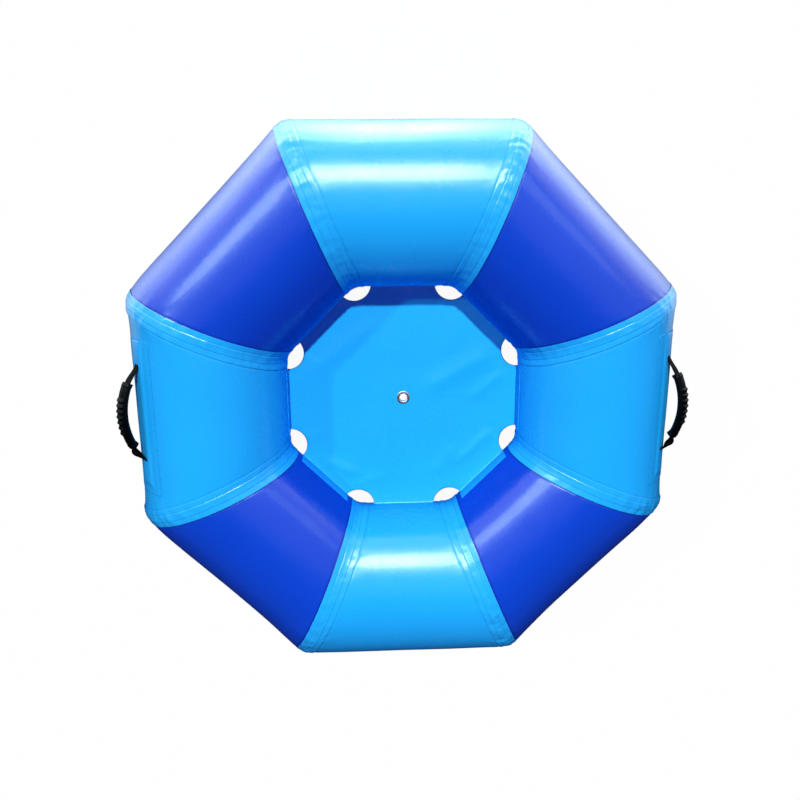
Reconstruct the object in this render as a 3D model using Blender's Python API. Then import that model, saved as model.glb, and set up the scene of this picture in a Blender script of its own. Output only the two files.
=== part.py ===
# River tube: an inflated ring of eight mitred tube panels with a floor, a centre eyelet, two carry
# handles and an air valve. Metres, +Z up, +Y to the rear, +X to the right. The origin is on the
# ground under the middle of the ring.

from math import asin, atan2, ceil, cos, pi, radians, sin, tan

import bmesh
import bpy
from mathutils import Matrix, Vector
from mathutils.geometry import tessellate_polygon

# Ring
ACROSS_FLATS = 1.200
TUBE_DIAMETER = 0.340
OUTER_ROUNDING = 0.026
INNER_ROUNDING = 0.010
WALL = 0.0009
CLEARANCE = 0.0003

# Seam tapes over the mitres
TAPE_WIDTH = 0.041
TAPE_THICKNESS = 0.0009

# Floor sheet, its turned-up edge and its drain holes
FLOOR_DROP = 0.028
FLOOR_THICKNESS = 0.001
FLAP_RISE = 0.015
DRAIN_RADIUS = 0.037

# Eyelet in the middle of the floor
EYELET_BORE = 0.017
EYELET_FLANGE = 0.030
EYELET_WALL = 0.0012
EYELET_LIP = 0.0024

# Handle patches and webbing
HANDLE_ANGLE = radians(37.5)
HANDLE_OFFSET = 0.010
PATCH_LENGTH = 0.334
PATCH_WIDTH = 0.104
PATCH_THICKNESS = 0.0009
PATCH_MARGIN = 0.0025
PATCH_RAMP = 0.0035
WEBBING_WIDTH = 0.025
WEBBING_THICKNESS = 0.002
NECK_WIDTH = 0.008
NECK_FLARE = 1.15
NECK_FALL = 0.017
NECK_CURVE = ((0.0, 0.0), (0.18, 0.10), (0.50, 0.64), (0.78, 0.95))
SLIT_SHARE = 0.26
TAIL_TAPER = 0.010
ANCHOR_SPAN = 0.205
AXIS_LIFT = 0.004

# Moulded grips, measured from the swing axis
GRIP_LENGTH = 0.138
GRIP_END_HEIGHT = 0.0095
GRIP_MIDDLE_HEIGHT = 0.026
GRIP_WIDTH = 0.032
GRIP_END_WIDTH = 0.028
GRIP_THICKNESS = 0.0185
GRIP_LIP = 0.0015
GRIP_LIP_START = 0.96
GRIP_END_SHARES = (0.35, 0.7, 0.93, 1.0)
RIB_COUNT = 7
RIB_PITCH = 0.0115
RIB_HEIGHT = 0.0035
RIB_LEAN = 0.12
RIB_WRAP = 0.3

# Air valve, on the outer lower side of the rear panel, measured from the panel's surface
VALVE_ANGLE = radians(-30)
VALVE_BARREL_RADIUS = 0.015
VALVE_FLANGE_RADIUS = 0.025
VALVE_FLANGE_THICKNESS = 0.003
VALVE_BEVEL = 0.00075
VALVE_GASKET_RADIUS = 0.022
VALVE_GASKET_THICKNESS = 0.0015
VALVE_NUT_RADIUS = 0.0215
VALVE_NUT_THICKNESS = 0.006
VALVE_RIM_RADIUS = 0.017
VALVE_RIM_HEIGHT = 0.007
VALVE_BORE_RADIUS = 0.011
VALVE_SEAT_RADIUS = 0.0085
VALVE_DEPTH = 0.012
VALVE_LEDGE = 0.0027
GUIDE_THICKNESS = 0.0015
GUIDE_HUB_RADIUS = 0.004
GUIDE_RING_WIDTH = 0.0015
STEM_RADIUS = 0.0015
BUTTON_RADIUS = 0.006
BUTTON_THICKNESS = 0.002
BUTTON_RECESS = 0.008
SEAL_OVERLAP = 0.0025
SEAL_THICKNESS = 0.0017
FOOT_OVERLAP = 0.0006
FOOT_THICKNESS = 0.0017
SPRING_RADIUS = 0.0036
SPRING_WIRE = 0.0008
SPRING_TURNS = 4.5
CAP_WALL = 0.0026
CAP_SKIRT_CLEARANCE = 0.0006
CAP_TOP_THICKNESS = 0.0023
LEASH_THICKNESS = 0.0011
LEASH_WIDTH = 0.008
HINGE_REACH = 0.0038

# Facets
SECTION_SIDES = 24
CORNER_STEPS = 1
DRAIN_STEPS = 6
TURNED_SIDES = 24
LOOP_STEPS = 4
GRIP_SIDES = 16
SPRING_SIDES = 6
SPRING_STEPS = 10
SMOOTH_ANGLE = radians(35)

PANEL_NAMES = ("right", "rear_right", "rear", "rear_left", "left", "front_left", "front", "front_right")
REAR_PANEL = PANEL_NAMES.index("rear")
SECTOR = 2 * pi / len(PANEL_NAMES)
TUBE_RADIUS = TUBE_DIAMETER / 2
RING_RADIUS = ACROSS_FLATS / 2 - TUBE_RADIUS
TUBE_HEIGHT = TUBE_RADIUS + CLEARANCE + TAPE_THICKNESS
SECTION_STEP = 2 * pi / SECTION_SIDES
SECTION_CORNERS = [(step + 0.5) * SECTION_STEP for step in range(SECTION_SIDES)]
FLOOR_TOP = TUBE_HEIGHT - FLOOR_DROP
PATCH_LIFT = CLEARANCE + WEBBING_THICKNESS + CLEARANCE
PATCH_TOP = PATCH_LIFT + PATCH_THICKNESS

# Colour, roughness and metallic value of each material
FINISHES = {
    "cyan_fabric": ((0.020, 0.370, 0.870), 0.28, 0.0),
    "royal_fabric": ((0.012, 0.045, 0.640), 0.26, 0.0),
    "black_webbing": ((0.012, 0.012, 0.014), 0.75, 0.0),
    "black_rubber": ((0.010, 0.011, 0.013), 0.38, 0.0),
    "nickel": ((0.780, 0.790, 0.800), 0.22, 1.0),
    "black_nylon": ((0.020, 0.020, 0.022), 0.45, 0.0),
    "seal_rubber": ((0.030, 0.030, 0.030), 0.65, 0.0),
    "spring_steel": ((0.600, 0.610, 0.620), 0.30, 1.0),
}


def make_material(name):
    colour, roughness, metallic = FINISHES[name]
    material = bpy.data.materials.get(name) or bpy.data.materials.new(name)
    material.use_nodes = True
    shader = material.node_tree.nodes["Principled BSDF"]
    shader.inputs["Base Color"].default_value = (*colour, 1.0)
    shader.inputs["Roughness"].default_value = roughness
    shader.inputs["Metallic"].default_value = metallic
    return material


def make_object(name, points, faces, finish, parent=None):
    mesh = bpy.data.meshes.new(name)
    mesh.from_pydata([tuple(point) for point in points], [], faces)
    shape = bmesh.new()
    shape.from_mesh(mesh)
    bmesh.ops.recalc_face_normals(shape, faces=shape.faces)
    shape.to_mesh(mesh)
    shape.free()
    mesh.shade_smooth()
    mesh.set_sharp_from_angle(angle=SMOOTH_ANGLE)
    mesh.materials.append(make_material(finish))
    piece = bpy.data.objects.new(name, mesh)
    bpy.context.scene.collection.objects.link(piece)
    piece.parent = parent
    return piece


def make_axis(name, matrix):
    axis = bpy.data.objects.new(name, None)
    bpy.context.scene.collection.objects.link(axis)
    axis.matrix_world = matrix
    return axis


def cut(piece, cutter):
    cutter.hide_render = True
    cutter.display_type = "WIRE"
    boolean = piece.modifiers.new("hole", "BOOLEAN")
    boolean.operation = "DIFFERENCE"
    boolean.object = cutter


def side_faces(first, second):
    """Quads between two closed rings of point numbers."""
    count = len(first)
    return [(first[i], first[(i + 1) % count], second[(i + 1) % count], second[i]) for i in range(count)]


def end_faces(outer, inner):
    """Closes the end between an outer ring and an inner ring that has as many points or fewer."""
    if len(outer) == len(inner):
        return side_faces(outer, inner)
    share = len(outer) // len(inner)
    faces = []
    for i, corner in enumerate(inner):
        for j in range(i * share, (i + 1) * share):
            faces.append((outer[j], outer[(j + 1) % len(outer)], corner))
        faces.append((outer[((i + 1) * share) % len(outer)], inner[(i + 1) % len(inner)], corner))
    return faces


def number_rings(rings, start=0):
    """Numbers the points of a list of rings, one after the other."""
    numbered = []
    for ring in rings:
        numbered.append(list(range(start, start + len(ring))))
        start += len(ring)
    return numbered


def loft(name, rings, finish, parent=None):
    """A solid through closed rings of points, with flat ends."""
    numbers = number_rings(rings)
    faces = [face for a, b in zip(numbers, numbers[1:]) for face in side_faces(a, b)]
    faces += [tuple(numbers[0]), tuple(numbers[-1])]
    return make_object(name, [point for ring in rings for point in ring], faces, finish, parent)


def hollow_loft(name, outer, inner, finish, parent=None):
    """A tube wall between outer rings and inner rings, open at both ends."""
    outside = number_rings(outer)
    inside = number_rings(inner, start=sum(len(ring) for ring in outer))
    faces = [face for a, b in zip(outside, outside[1:]) for face in side_faces(a, b)]
    faces += [face for a, b in zip(inside, inside[1:]) for face in side_faces(a, b)]
    faces += end_faces(outside[0], inside[0]) + end_faces(outside[-1], inside[-1])
    return make_object(name, [point for ring in outer + inner for point in ring], faces, finish, parent)


def thick_sheet(name, upper, lower, faces, finish, parent=None):
    """A sheet with an upper and a lower position for each of its points."""
    count = len(upper)
    edges = {}
    for face in faces:
        for a, b in zip(face, face[1:] + face[:1]):
            edges[frozenset((a, b))] = edges.get(frozenset((a, b)), []) + [(a, b)]
    rims = [pairs[0] for pairs in edges.values() if len(pairs) == 1]
    solid = [tuple(face) for face in faces]
    solid += [tuple(number + count for number in reversed(face)) for face in faces]
    solid += [(b, a, a + count, b + count) for a, b in rims]
    return make_object(name, list(upper) + list(lower), solid, finish, parent)


def turned(name, profile, finish, parent=None, sides=TURNED_SIDES):
    """Turns a closed outline of (radius, height) points about the local Z axis."""
    points, rows = [], []
    for radius, height in profile:
        if radius == 0:
            points.append(Vector((0, 0, height)))
            rows.append([len(points) - 1] * sides)
            continue
        rows.append(list(range(len(points), len(points) + sides)))
        angles = [2 * pi * side / sides for side in range(sides)]
        points += [Vector((radius * cos(angle), radius * sin(angle), height)) for angle in angles]
    faces = []
    for a, b in zip(rows, rows[1:] + rows[:1]):
        for face in side_faces(a, b):
            corners = list(dict.fromkeys(face))
            if len(corners) > 2:
                faces.append(tuple(corners))
    return make_object(name, points, faces, finish, parent)


def section_point(angle, offset=0.0):
    """Reach from the ring's axis and height of the faceted tube section, grown by an offset."""
    nearest_flat = round(angle / SECTION_STEP) * SECTION_STEP
    distance = (TUBE_RADIUS + offset) / cos(angle - nearest_flat)
    return RING_RADIUS + distance * cos(angle), TUBE_HEIGHT + distance * sin(angle)


def panel_directions(panel):
    outward = Vector((cos(panel * SECTOR), sin(panel * SECTOR), 0))
    along = Vector((-sin(panel * SECTOR), cos(panel * SECTOR), 0))
    return outward, along


def panel_point(panel, along, angle, offset):
    """A point on a panel, at a distance along it from its middle."""
    outward, direction = panel_directions(panel)
    reach, height = section_point(angle, offset)
    return outward * reach + direction * along + Vector((0, 0, height))


def surface_frame(panel, along, angle, offset):
    """Axes on a panel: X along it, Y up round the section, Z out of it."""
    outward, direction = panel_directions(panel)
    normal = outward * cos(angle) + Vector((0, 0, sin(angle)))
    upward = normal.cross(direction)
    frame = Matrix((direction, upward, normal)).transposed().to_4x4()
    frame.translation = panel_point(panel, along, angle, offset)
    return frame


def rounded(distance, rounding):
    """Distance from a mitre, eased near the mitre so that the corner is rounded."""
    if distance >= rounding:
        return distance
    return (distance ** 2 + rounding ** 2) / (2 * rounding)


def mitre_point(mitre, side, distance, angle, offset):
    """A point beside a mitre, at a distance from its plane towards the next panel or the last."""
    reach, height = section_point(angle, offset)
    rounding = INNER_ROUNDING + (OUTER_ROUNDING - INNER_ROUNDING) * (1 + cos(angle)) / 2
    radius = reach / cos(SECTOR / 2) - tan(SECTOR / 2) * rounded(distance, rounding)
    outward, across = panel_directions(mitre + 0.5)
    return outward * radius + across * side * distance + Vector((0, 0, height))


def mitre_ring(mitre, side, distance, offset):
    return [mitre_point(mitre, side, distance, angle, offset) for angle in SECTION_CORNERS]


def corner_distances(nearest):
    """Distances from a mitre at which the surfaces beside it have points."""
    return [nearest] + [TAPE_WIDTH / 2 * step / CORNER_STEPS for step in range(1, CORNER_STEPS + 1)]


def make_panels():
    distances = corner_distances(CLEARANCE / 2)
    panels = []
    for panel, name in enumerate(PANEL_NAMES):
        stations = [(panel - 1, 1, distance) for distance in distances]
        stations += [(panel, -1, distance) for distance in reversed(distances)]
        outer = [mitre_ring(*station, 0.0) for station in stations]
        inner = [mitre_ring(*station, -WALL) for station in stations]
        finish = "cyan_fabric" if panel % 2 == 0 else "royal_fabric"
        panels.append(hollow_loft(f"tube_panel_{name}", outer, inner, finish))
    return panels


def make_tapes():
    distances = corner_distances(0.0)
    for mitre in range(len(PANEL_NAMES)):
        stations = [(mitre, -1, distance) for distance in reversed(distances)]
        stations += [(mitre, 1, distance) for distance in distances[1:]]
        outer = [mitre_ring(*station, CLEARANCE + TAPE_THICKNESS) for station in stations]
        inner = [mitre_ring(*station, CLEARANCE) for station in stations]
        hollow_loft(f"seam_tape_{mitre + 1}", outer, inner, "cyan_fabric")


def inner_face_points(low, high, offset):
    """Points up the tube's inner face between two heights, with the section's corners."""
    corners = [section_point(angle, offset) for angle in SECTION_CORNERS if pi / 2 < angle < 1.5 * pi]
    corners.reverse()

    def at_height(height):
        for (reach_a, height_a), (reach_b, height_b) in zip(corners, corners[1:]):
            if height_a <= height <= height_b:
                return reach_a + (reach_b - reach_a) * (height - height_a) / (height_b - height_a), height
        return corners[0]

    passed = [corner for corner in corners if low + CLEARANCE < corner[1] < high - CLEARANCE]
    return [at_height(low)] + passed + [at_height(high)]


def make_floor():
    """The octagonal sheet: its straight edges turn up, and its corners are cut round for drainage."""
    flap_top = TUBE_HEIGHT + FLAP_RISE
    skins = (
        inner_face_points(FLOOR_TOP, flap_top, CLEARANCE + FLOOR_THICKNESS),
        inner_face_points(FLOOR_TOP - FLOOR_THICKNESS, flap_top, CLEARANCE),
    )
    fold_reach = skins[0][0][0]
    flap_half = fold_reach * tan(SECTOR / 2) - DRAIN_RADIUS
    bore = EYELET_BORE / 2 + EYELET_WALL + CLEARANCE
    levels = (FLOOR_TOP, FLOOR_TOP - FLOOR_THICKNESS)
    sheets = ([], [])
    outline, flaps = [], []
    for panel in range(len(PANEL_NAMES)):
        outward, along = panel_directions(panel)
        start = len(sheets[0])
        for sheet, skin in zip(sheets, skins):
            for reach, height in skin:
                for side in (-1, 1):
                    sheet.append(outward * reach + along * side * flap_half + Vector((0, 0, height)))
        flaps += [(start + 2 * row, start + 2 * row + 1, start + 2 * row + 3, start + 2 * row + 2)
                  for row in range(len(skins[0]) - 1)]
        outline += [start, start + 1]
        corner = panel_directions(panel + 0.5)[0] * (fold_reach / cos(SECTOR / 2))
        for step in range(1, DRAIN_STEPS):
            angle = panel * SECTOR + 1.5 * pi - (pi - SECTOR) * step / DRAIN_STEPS
            outline.append(len(sheets[0]))
            for sheet, level in zip(sheets, levels):
                place = corner + Vector((cos(angle), sin(angle), 0)) * DRAIN_RADIUS
                sheet.append(place + Vector((0, 0, level)))
    hole = []
    for side in range(TURNED_SIDES):
        angle = 2 * pi * side / TURNED_SIDES
        hole.append(len(sheets[0]))
        for sheet, level in zip(sheets, levels):
            sheet.append(Vector((bore * cos(angle), bore * sin(angle), level)))
    numbers = outline + hole
    loops = [[sheets[0][number].to_2d().to_3d() for number in loop] for loop in (outline, hole)]
    plate = [tuple(numbers[corner] for corner in triangle) for triangle in tessellate_polygon(loops)]
    return thick_sheet("floor_sheet", sheets[0], sheets[1], consistent(plate + flaps), "cyan_fabric")


def consistent(faces):
    """Turns the faces of a sheet so that neighbours run the same way round."""
    faces = [list(face) for face in faces]
    owners = {}
    for index, face in enumerate(faces):
        for a, b in zip(face, face[1:] + face[:1]):
            owners.setdefault(frozenset((a, b)), []).append(index)
    seen, queue = {0}, [0]
    while queue:
        face = faces[queue.pop()]
        for a, b in zip(face, face[1:] + face[:1]):
            for other in owners[frozenset((a, b))]:
                if other in seen:
                    continue
                neighbour = faces[other]
                if (a, b) in zip(neighbour, neighbour[1:] + neighbour[:1]):
                    neighbour.reverse()
                seen.add(other)
                queue.append(other)
    return [tuple(face) for face in faces]


def make_eyelet():
    bore, flange = EYELET_BORE / 2, EYELET_FLANGE / 2
    barrel = bore + EYELET_WALL
    top = FLOOR_TOP + CLEARANCE
    under = FLOOR_TOP - FLOOR_THICKNESS - CLEARANCE
    lip_top = under - EYELET_WALL - CLEARANCE
    edge = EYELET_WALL / 2
    turned("eyelet", [
        (bore, lip_top - EYELET_WALL), (barrel + EYELET_LIP, lip_top - EYELET_WALL),
        (barrel + EYELET_LIP, lip_top), (barrel, lip_top), (barrel, top), (flange, top),
        (flange, top + edge), (flange - edge, top + EYELET_WALL), (bore + edge, top + EYELET_WALL),
        (bore, top + edge),
    ], "nickel")
    turned("eyelet_washer", [
        (barrel + CLEARANCE, under - EYELET_WALL), (flange - edge, under - EYELET_WALL),
        (flange, under - edge), (flange, under), (barrel + CLEARANCE, under),
    ], "nickel")


def tail_end():
    """How far the webbing's sewn tails reach from the handle's middle, under the patch."""
    return PATCH_LENGTH / 2 - abs(HANDLE_OFFSET) - 2 * PATCH_MARGIN - PATCH_RAMP


def slit_limits():
    """Where each slit begins and ends, from the handle's middle, and half its width."""
    neck = ANCHOR_SPAN / 2 + CLEARANCE
    return neck + NECK_FALL * SLIT_SHARE, neck + NECK_FALL, NECK_WIDTH / 2 + CLEARANCE


def patch_lift(along, across):
    """Height of the patch's underside over the panel: raised over the webbing tails."""
    beyond = max(abs(along) - tail_end() - PATCH_MARGIN, abs(across) - WEBBING_WIDTH / 2 - PATCH_MARGIN, 0)
    return CLEARANCE + (PATCH_LIFT - CLEARANCE) * max(0, 1 - beyond / PATCH_RAMP)


def between(values, low, high):
    """The values inside two limits, with the limits, in order and without repeats."""
    inside = [value for value in values if low + CLEARANCE < value < high - CLEARANCE]
    ordered = [low] + sorted(inside) + [high]
    return [ordered[0]] + [b for a, b in zip(ordered, ordered[1:]) if b - a > CLEARANCE / 3]


def make_patch(name, panel, handle_along):
    """A long rectangle of fabric on the tube's shoulder, with a slit for each end of the webbing."""
    slit_start, slit_end, slit_half = slit_limits()
    raised = (tail_end() + PATCH_MARGIN, tail_end() + PATCH_MARGIN + PATCH_RAMP)
    breaks = [side * value for side in (-1, 1) for value in (slit_start, slit_end, *raised)]
    length = PATCH_LENGTH / 2
    columns = between([handle_along + value for value in breaks], -length, length)
    widths = (slit_half, WEBBING_WIDTH / 2 + PATCH_MARGIN, WEBBING_WIDTH / 2 + PATCH_MARGIN + PATCH_RAMP)
    rows = [side * value for side in (-1, 1) for value in widths]
    rows += [(angle - HANDLE_ANGLE) * TUBE_RADIUS for angle in SECTION_CORNERS]
    rows = between(rows, -PATCH_WIDTH / 2, PATCH_WIDTH / 2)
    upper, lower, faces = [], [], []
    for along in columns:
        for across in rows:
            angle = HANDLE_ANGLE + across / TUBE_RADIUS
            lift = patch_lift(along - handle_along, across)
            upper.append(panel_point(panel, along, angle, lift + PATCH_THICKNESS))
            lower.append(panel_point(panel, along, angle, lift))
    for i, (along_a, along_b) in enumerate(zip(columns, columns[1:])):
        for j, (across_a, across_b) in enumerate(zip(rows, rows[1:])):
            along = abs((along_a + along_b) / 2 - handle_along)
            in_slit = slit_start < along < slit_end and abs(across_a + across_b) / 2 < slit_half
            if not in_slit:
                first = i * len(rows) + j
                faces.append((first, first + 1, first + len(rows) + 1, first + len(rows)))
    return thick_sheet(name, upper, lower, faces, "cyan_fabric")


def strap_outline(shares):
    """Corners round a flat section, as shares across it and out of it."""
    inward = [(share, -1) for share in shares]
    outward = [(share, 1) for share in reversed(shares[1:])]
    return [(shares[0], 1)] + inward + outward


def strap_ring(along, height, slope, half_width, shares=(1, -1)):
    """A flat section of webbing across its run, in the swing axis's frame."""
    step_along = WEBBING_THICKNESS / 2 * sin(slope)
    step_up = WEBBING_THICKNESS / 2 * cos(slope)
    return [Vector((along + out * step_along, across * half_width, height + out * step_up))
            for across, out in strap_outline(shares)]


def tail_ring(panel, along, half_width, shares):
    """A section of webbing lying on the panel, under the patch."""
    ring = []
    for across, out in strap_outline(shares):
        angle = HANDLE_ANGLE + across * half_width / TUBE_RADIUS
        offset = CLEARANCE + WEBBING_THICKNESS * (1 + out) / 2
        ring.append(panel_point(panel, along, angle, offset))
    return ring


def make_tail(name, panel, handle_along, frame, side):
    """A sewn end of the webbing: out of the slit in a narrow neck up to the swing axis."""
    shares = (1, 0, -1)
    neck = ANCHOR_SPAN / 2 + CLEARANCE
    sunk = AXIS_LIFT + PATCH_THICKNESS + CLEARANCE + WEBBING_THICKNESS / 2
    steep = atan2(sunk, NECK_FALL)
    rings = []
    for share, fall in NECK_CURVE:
        slope = side * steep if share else 0.0
        ring = strap_ring(side * (neck + NECK_FALL * share), -sunk * fall, slope, NECK_WIDTH / 2, shares)
        rings.append([frame @ point for point in ring])
    slit_end = neck + NECK_FALL
    narrow, wide = NECK_WIDTH / 2, WEBBING_WIDTH / 2
    for reach, half_width in ((slit_end, narrow), (slit_end + TAIL_TAPER, wide), (tail_end(), wide)):
        rings.append(tail_ring(panel, handle_along + side * reach, half_width, shares))
    return loft(name, rings, "black_webbing")


def grip_arc():
    """Radius of the grip's bowed middle line and half the angle it spans."""
    half, rise = GRIP_LENGTH / 2, GRIP_MIDDLE_HEIGHT - GRIP_END_HEIGHT
    radius = (half ** 2 + rise ** 2) / (2 * rise)
    return radius, asin(half / radius)


def grip_stations():
    """Angles along the grip's arc: its smooth ends and the valley and peak of each rib."""
    radius, half_angle = grip_arc()
    ribbed = RIB_COUNT * RIB_PITCH / 2
    stations = []
    for rib in range(RIB_COUNT):
        middle = (rib - (RIB_COUNT - 1) / 2) * RIB_PITCH
        stations += [(middle - RIB_PITCH / 2, 0.0), (middle + RIB_PITCH * RIB_LEAN, RIB_HEIGHT)]
    stations.append((ribbed, 0.0))
    smooth = radius * half_angle - ribbed
    ends = [(ribbed + smooth * share, 0.0) for share in GRIP_END_SHARES]
    mirrored = [(-place, height) for place, height in reversed(ends)]
    return [(place / radius, height) for place, height in mirrored + stations + ends]


def grip_ring(turn, rib):
    """Outline of the grip across its run: an oval, ribbed on the outside and lipped at the ends."""
    radius, half_angle = grip_arc()
    share = abs(turn) / half_angle
    half_width = (GRIP_WIDTH + (GRIP_END_WIDTH - GRIP_WIDTH) * share ** 2) / 2
    lip = GRIP_LIP if share > GRIP_LIP_START else 0.0
    ring = []
    for side in range(GRIP_SIDES):
        angle = 2 * pi * side / GRIP_SIDES
        outward = cos(angle)
        rise = GRIP_THICKNESS / 2 * outward - lip * max(0.0, -outward) ** 4
        if outward > RIB_WRAP:
            rise += rib * outward ** 0.5
        reach = radius + rise
        ring.append(Vector((reach * sin(turn), half_width * sin(angle),
                            GRIP_MIDDLE_HEIGHT - radius + reach * cos(turn))))
    return ring


def slot_ring(turn, half_width, half_thickness):
    """A flat rectangle across the grip's middle line."""
    radius = grip_arc()[0]
    ring = []
    for across, out in strap_outline((1, -1)):
        reach = radius + out * half_thickness
        ring.append(Vector((reach * sin(turn), across * half_width,
                            GRIP_MIDDLE_HEIGHT - radius + reach * cos(turn))))
    return ring


def make_grip(name, axis):
    stations = grip_stations()
    outer = [grip_ring(turn, rib) for turn, rib in stations]
    half_width = WEBBING_WIDTH / 2 + CLEARANCE
    half_thickness = WEBBING_THICKNESS / 2 + CLEARANCE
    inner = [slot_ring(turn, half_width, half_thickness) for turn, rib in stations]
    return hollow_loft(name, outer, inner, "black_rubber", axis)


def make_webbing(name, axis):
    """The moving loop of webbing: a neck at each anchor, widening to the grip and through it."""
    radius, half_angle = grip_arc()
    start, end = GRIP_LENGTH / 2, ANCHOR_SPAN / 2
    run = end - start
    necks = []
    for step in range(1, LOOP_STEPS + 1):
        share = step / LOOP_STEPS
        along = start + run * share
        rest = 1 - share
        fall = tan(half_angle) * run * share * rest ** 2
        height = GRIP_END_HEIGHT * rest ** 2 * (1 + 2 * share) - fall
        slope = half_angle * rest
        half_width = min(WEBBING_WIDTH / 2, NECK_WIDTH / 2 + NECK_FLARE * max(height, 0.0))
        necks.append((along, height, slope, half_width))
    rings = []
    for along, height, slope, half_width in reversed(necks):
        rings.append(strap_ring(-along, height, -slope, half_width))
    rings += [slot_ring(turn, WEBBING_WIDTH / 2, WEBBING_THICKNESS / 2) for turn, rib in grip_stations()]
    for along, height, slope, half_width in necks:
        rings.append(strap_ring(along, height, slope, half_width))
    return loft(name, rings, "black_webbing", axis)


def make_handle(side_name):
    panel = PANEL_NAMES.index(side_name)
    direction = panel_directions(panel)[1]
    handle_along = HANDLE_OFFSET * direction.y
    make_patch(f"{side_name}_handle_patch", panel, handle_along)
    frame = surface_frame(panel, handle_along, HANDLE_ANGLE, PATCH_TOP)
    frame = frame @ Matrix.Translation((0, 0, AXIS_LIFT))
    for side in (-1, 1):
        end_name = "rear" if side * direction.y > 0 else "front"
        make_tail(f"{side_name}_webbing_{end_name}_tail", panel, handle_along, frame, side)
    axis = make_axis(f"{side_name}_swing_axis", frame)
    make_webbing(f"{side_name}_webbing", axis)
    make_grip(f"{side_name}_grip", axis)


def valve_levels():
    """Heights of the valve's pieces above the panel's surface."""
    levels = {"flange": CLEARANCE + VALVE_GASKET_THICKNESS + CLEARANCE}
    levels["flange_top"] = levels["flange"] + VALVE_FLANGE_THICKNESS
    levels["rim"] = levels["flange_top"] + VALVE_RIM_HEIGHT
    levels["seat"] = -VALVE_DEPTH
    levels["ledge"] = levels["seat"] + VALVE_LEDGE
    levels["guide"] = levels["ledge"] + CLEARANCE
    levels["button_top"] = levels["rim"] - BUTTON_RECESS
    levels["button"] = levels["button_top"] - BUTTON_THICKNESS
    levels["seal"] = levels["seat"] - CLEARANCE
    levels["foot"] = levels["seal"] - SEAL_THICKNESS - CLEARANCE
    levels["leash"] = levels["flange_top"] + CLEARANCE
    levels["skirt"] = levels["leash"] + LEASH_THICKNESS + CLEARANCE
    levels["cap"] = levels["rim"] + CLEARANCE
    return levels


def make_valve_body(frame_axis, level):
    barrel, bore, rim = VALVE_BARREL_RADIUS, VALVE_BORE_RADIUS, VALVE_RIM_RADIUS
    turned("valve_body", [
        (VALVE_SEAT_RADIUS, level["seat"]), (barrel, level["seat"]), (barrel, level["flange"]),
        (VALVE_FLANGE_RADIUS, level["flange"]),
        (VALVE_FLANGE_RADIUS, level["flange_top"] - VALVE_BEVEL),
        (VALVE_FLANGE_RADIUS - VALVE_BEVEL, level["flange_top"]), (rim, level["flange_top"]),
        (rim, level["rim"]), (bore, level["rim"]), (bore, level["ledge"]),
        (VALVE_SEAT_RADIUS, level["ledge"]),
    ], "black_nylon", frame_axis)
    inside = barrel + CLEARANCE
    turned("valve_gasket", [
        (inside, CLEARANCE), (VALVE_GASKET_RADIUS, CLEARANCE),
        (VALVE_GASKET_RADIUS, CLEARANCE + VALVE_GASKET_THICKNESS),
        (inside, CLEARANCE + VALVE_GASKET_THICKNESS),
    ], "seal_rubber", frame_axis)
    nut_top = -WALL - CLEARANCE
    turned("valve_nut", [
        (inside, nut_top - VALVE_NUT_THICKNESS), (VALVE_NUT_RADIUS, nut_top - VALVE_NUT_THICKNESS),
        (VALVE_NUT_RADIUS, nut_top), (inside, nut_top),
    ], "black_nylon", frame_axis)


def make_stem_guide(frame_axis, level):
    """A hub held by three arms in a ring, which lets the air past and keeps the stem straight."""
    outside = VALVE_BORE_RADIUS - CLEARANCE
    radii = (STEM_RADIUS + CLEARANCE, GUIDE_HUB_RADIUS, outside - GUIDE_RING_WIDTH, outside)
    arm_every = TURNED_SIDES // 3
    upper, lower, faces = [], [], []
    for side in range(TURNED_SIDES):
        angle = 2 * pi * side / TURNED_SIDES
        for radius in radii:
            place = Vector((radius * cos(angle), radius * sin(angle), level["guide"]))
            lower.append(place)
            upper.append(place + Vector((0, 0, GUIDE_THICKNESS)))
        for row in range(len(radii) - 1):
            if row == 1 and side % arm_every:
                continue
            first = side * len(radii) + row
            last = (side + 1) % TURNED_SIDES * len(radii) + row
            faces.append((first, first + 1, last + 1, last))
    thick_sheet("valve_stem_guide", upper, lower, faces, "black_nylon", frame_axis)


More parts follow.
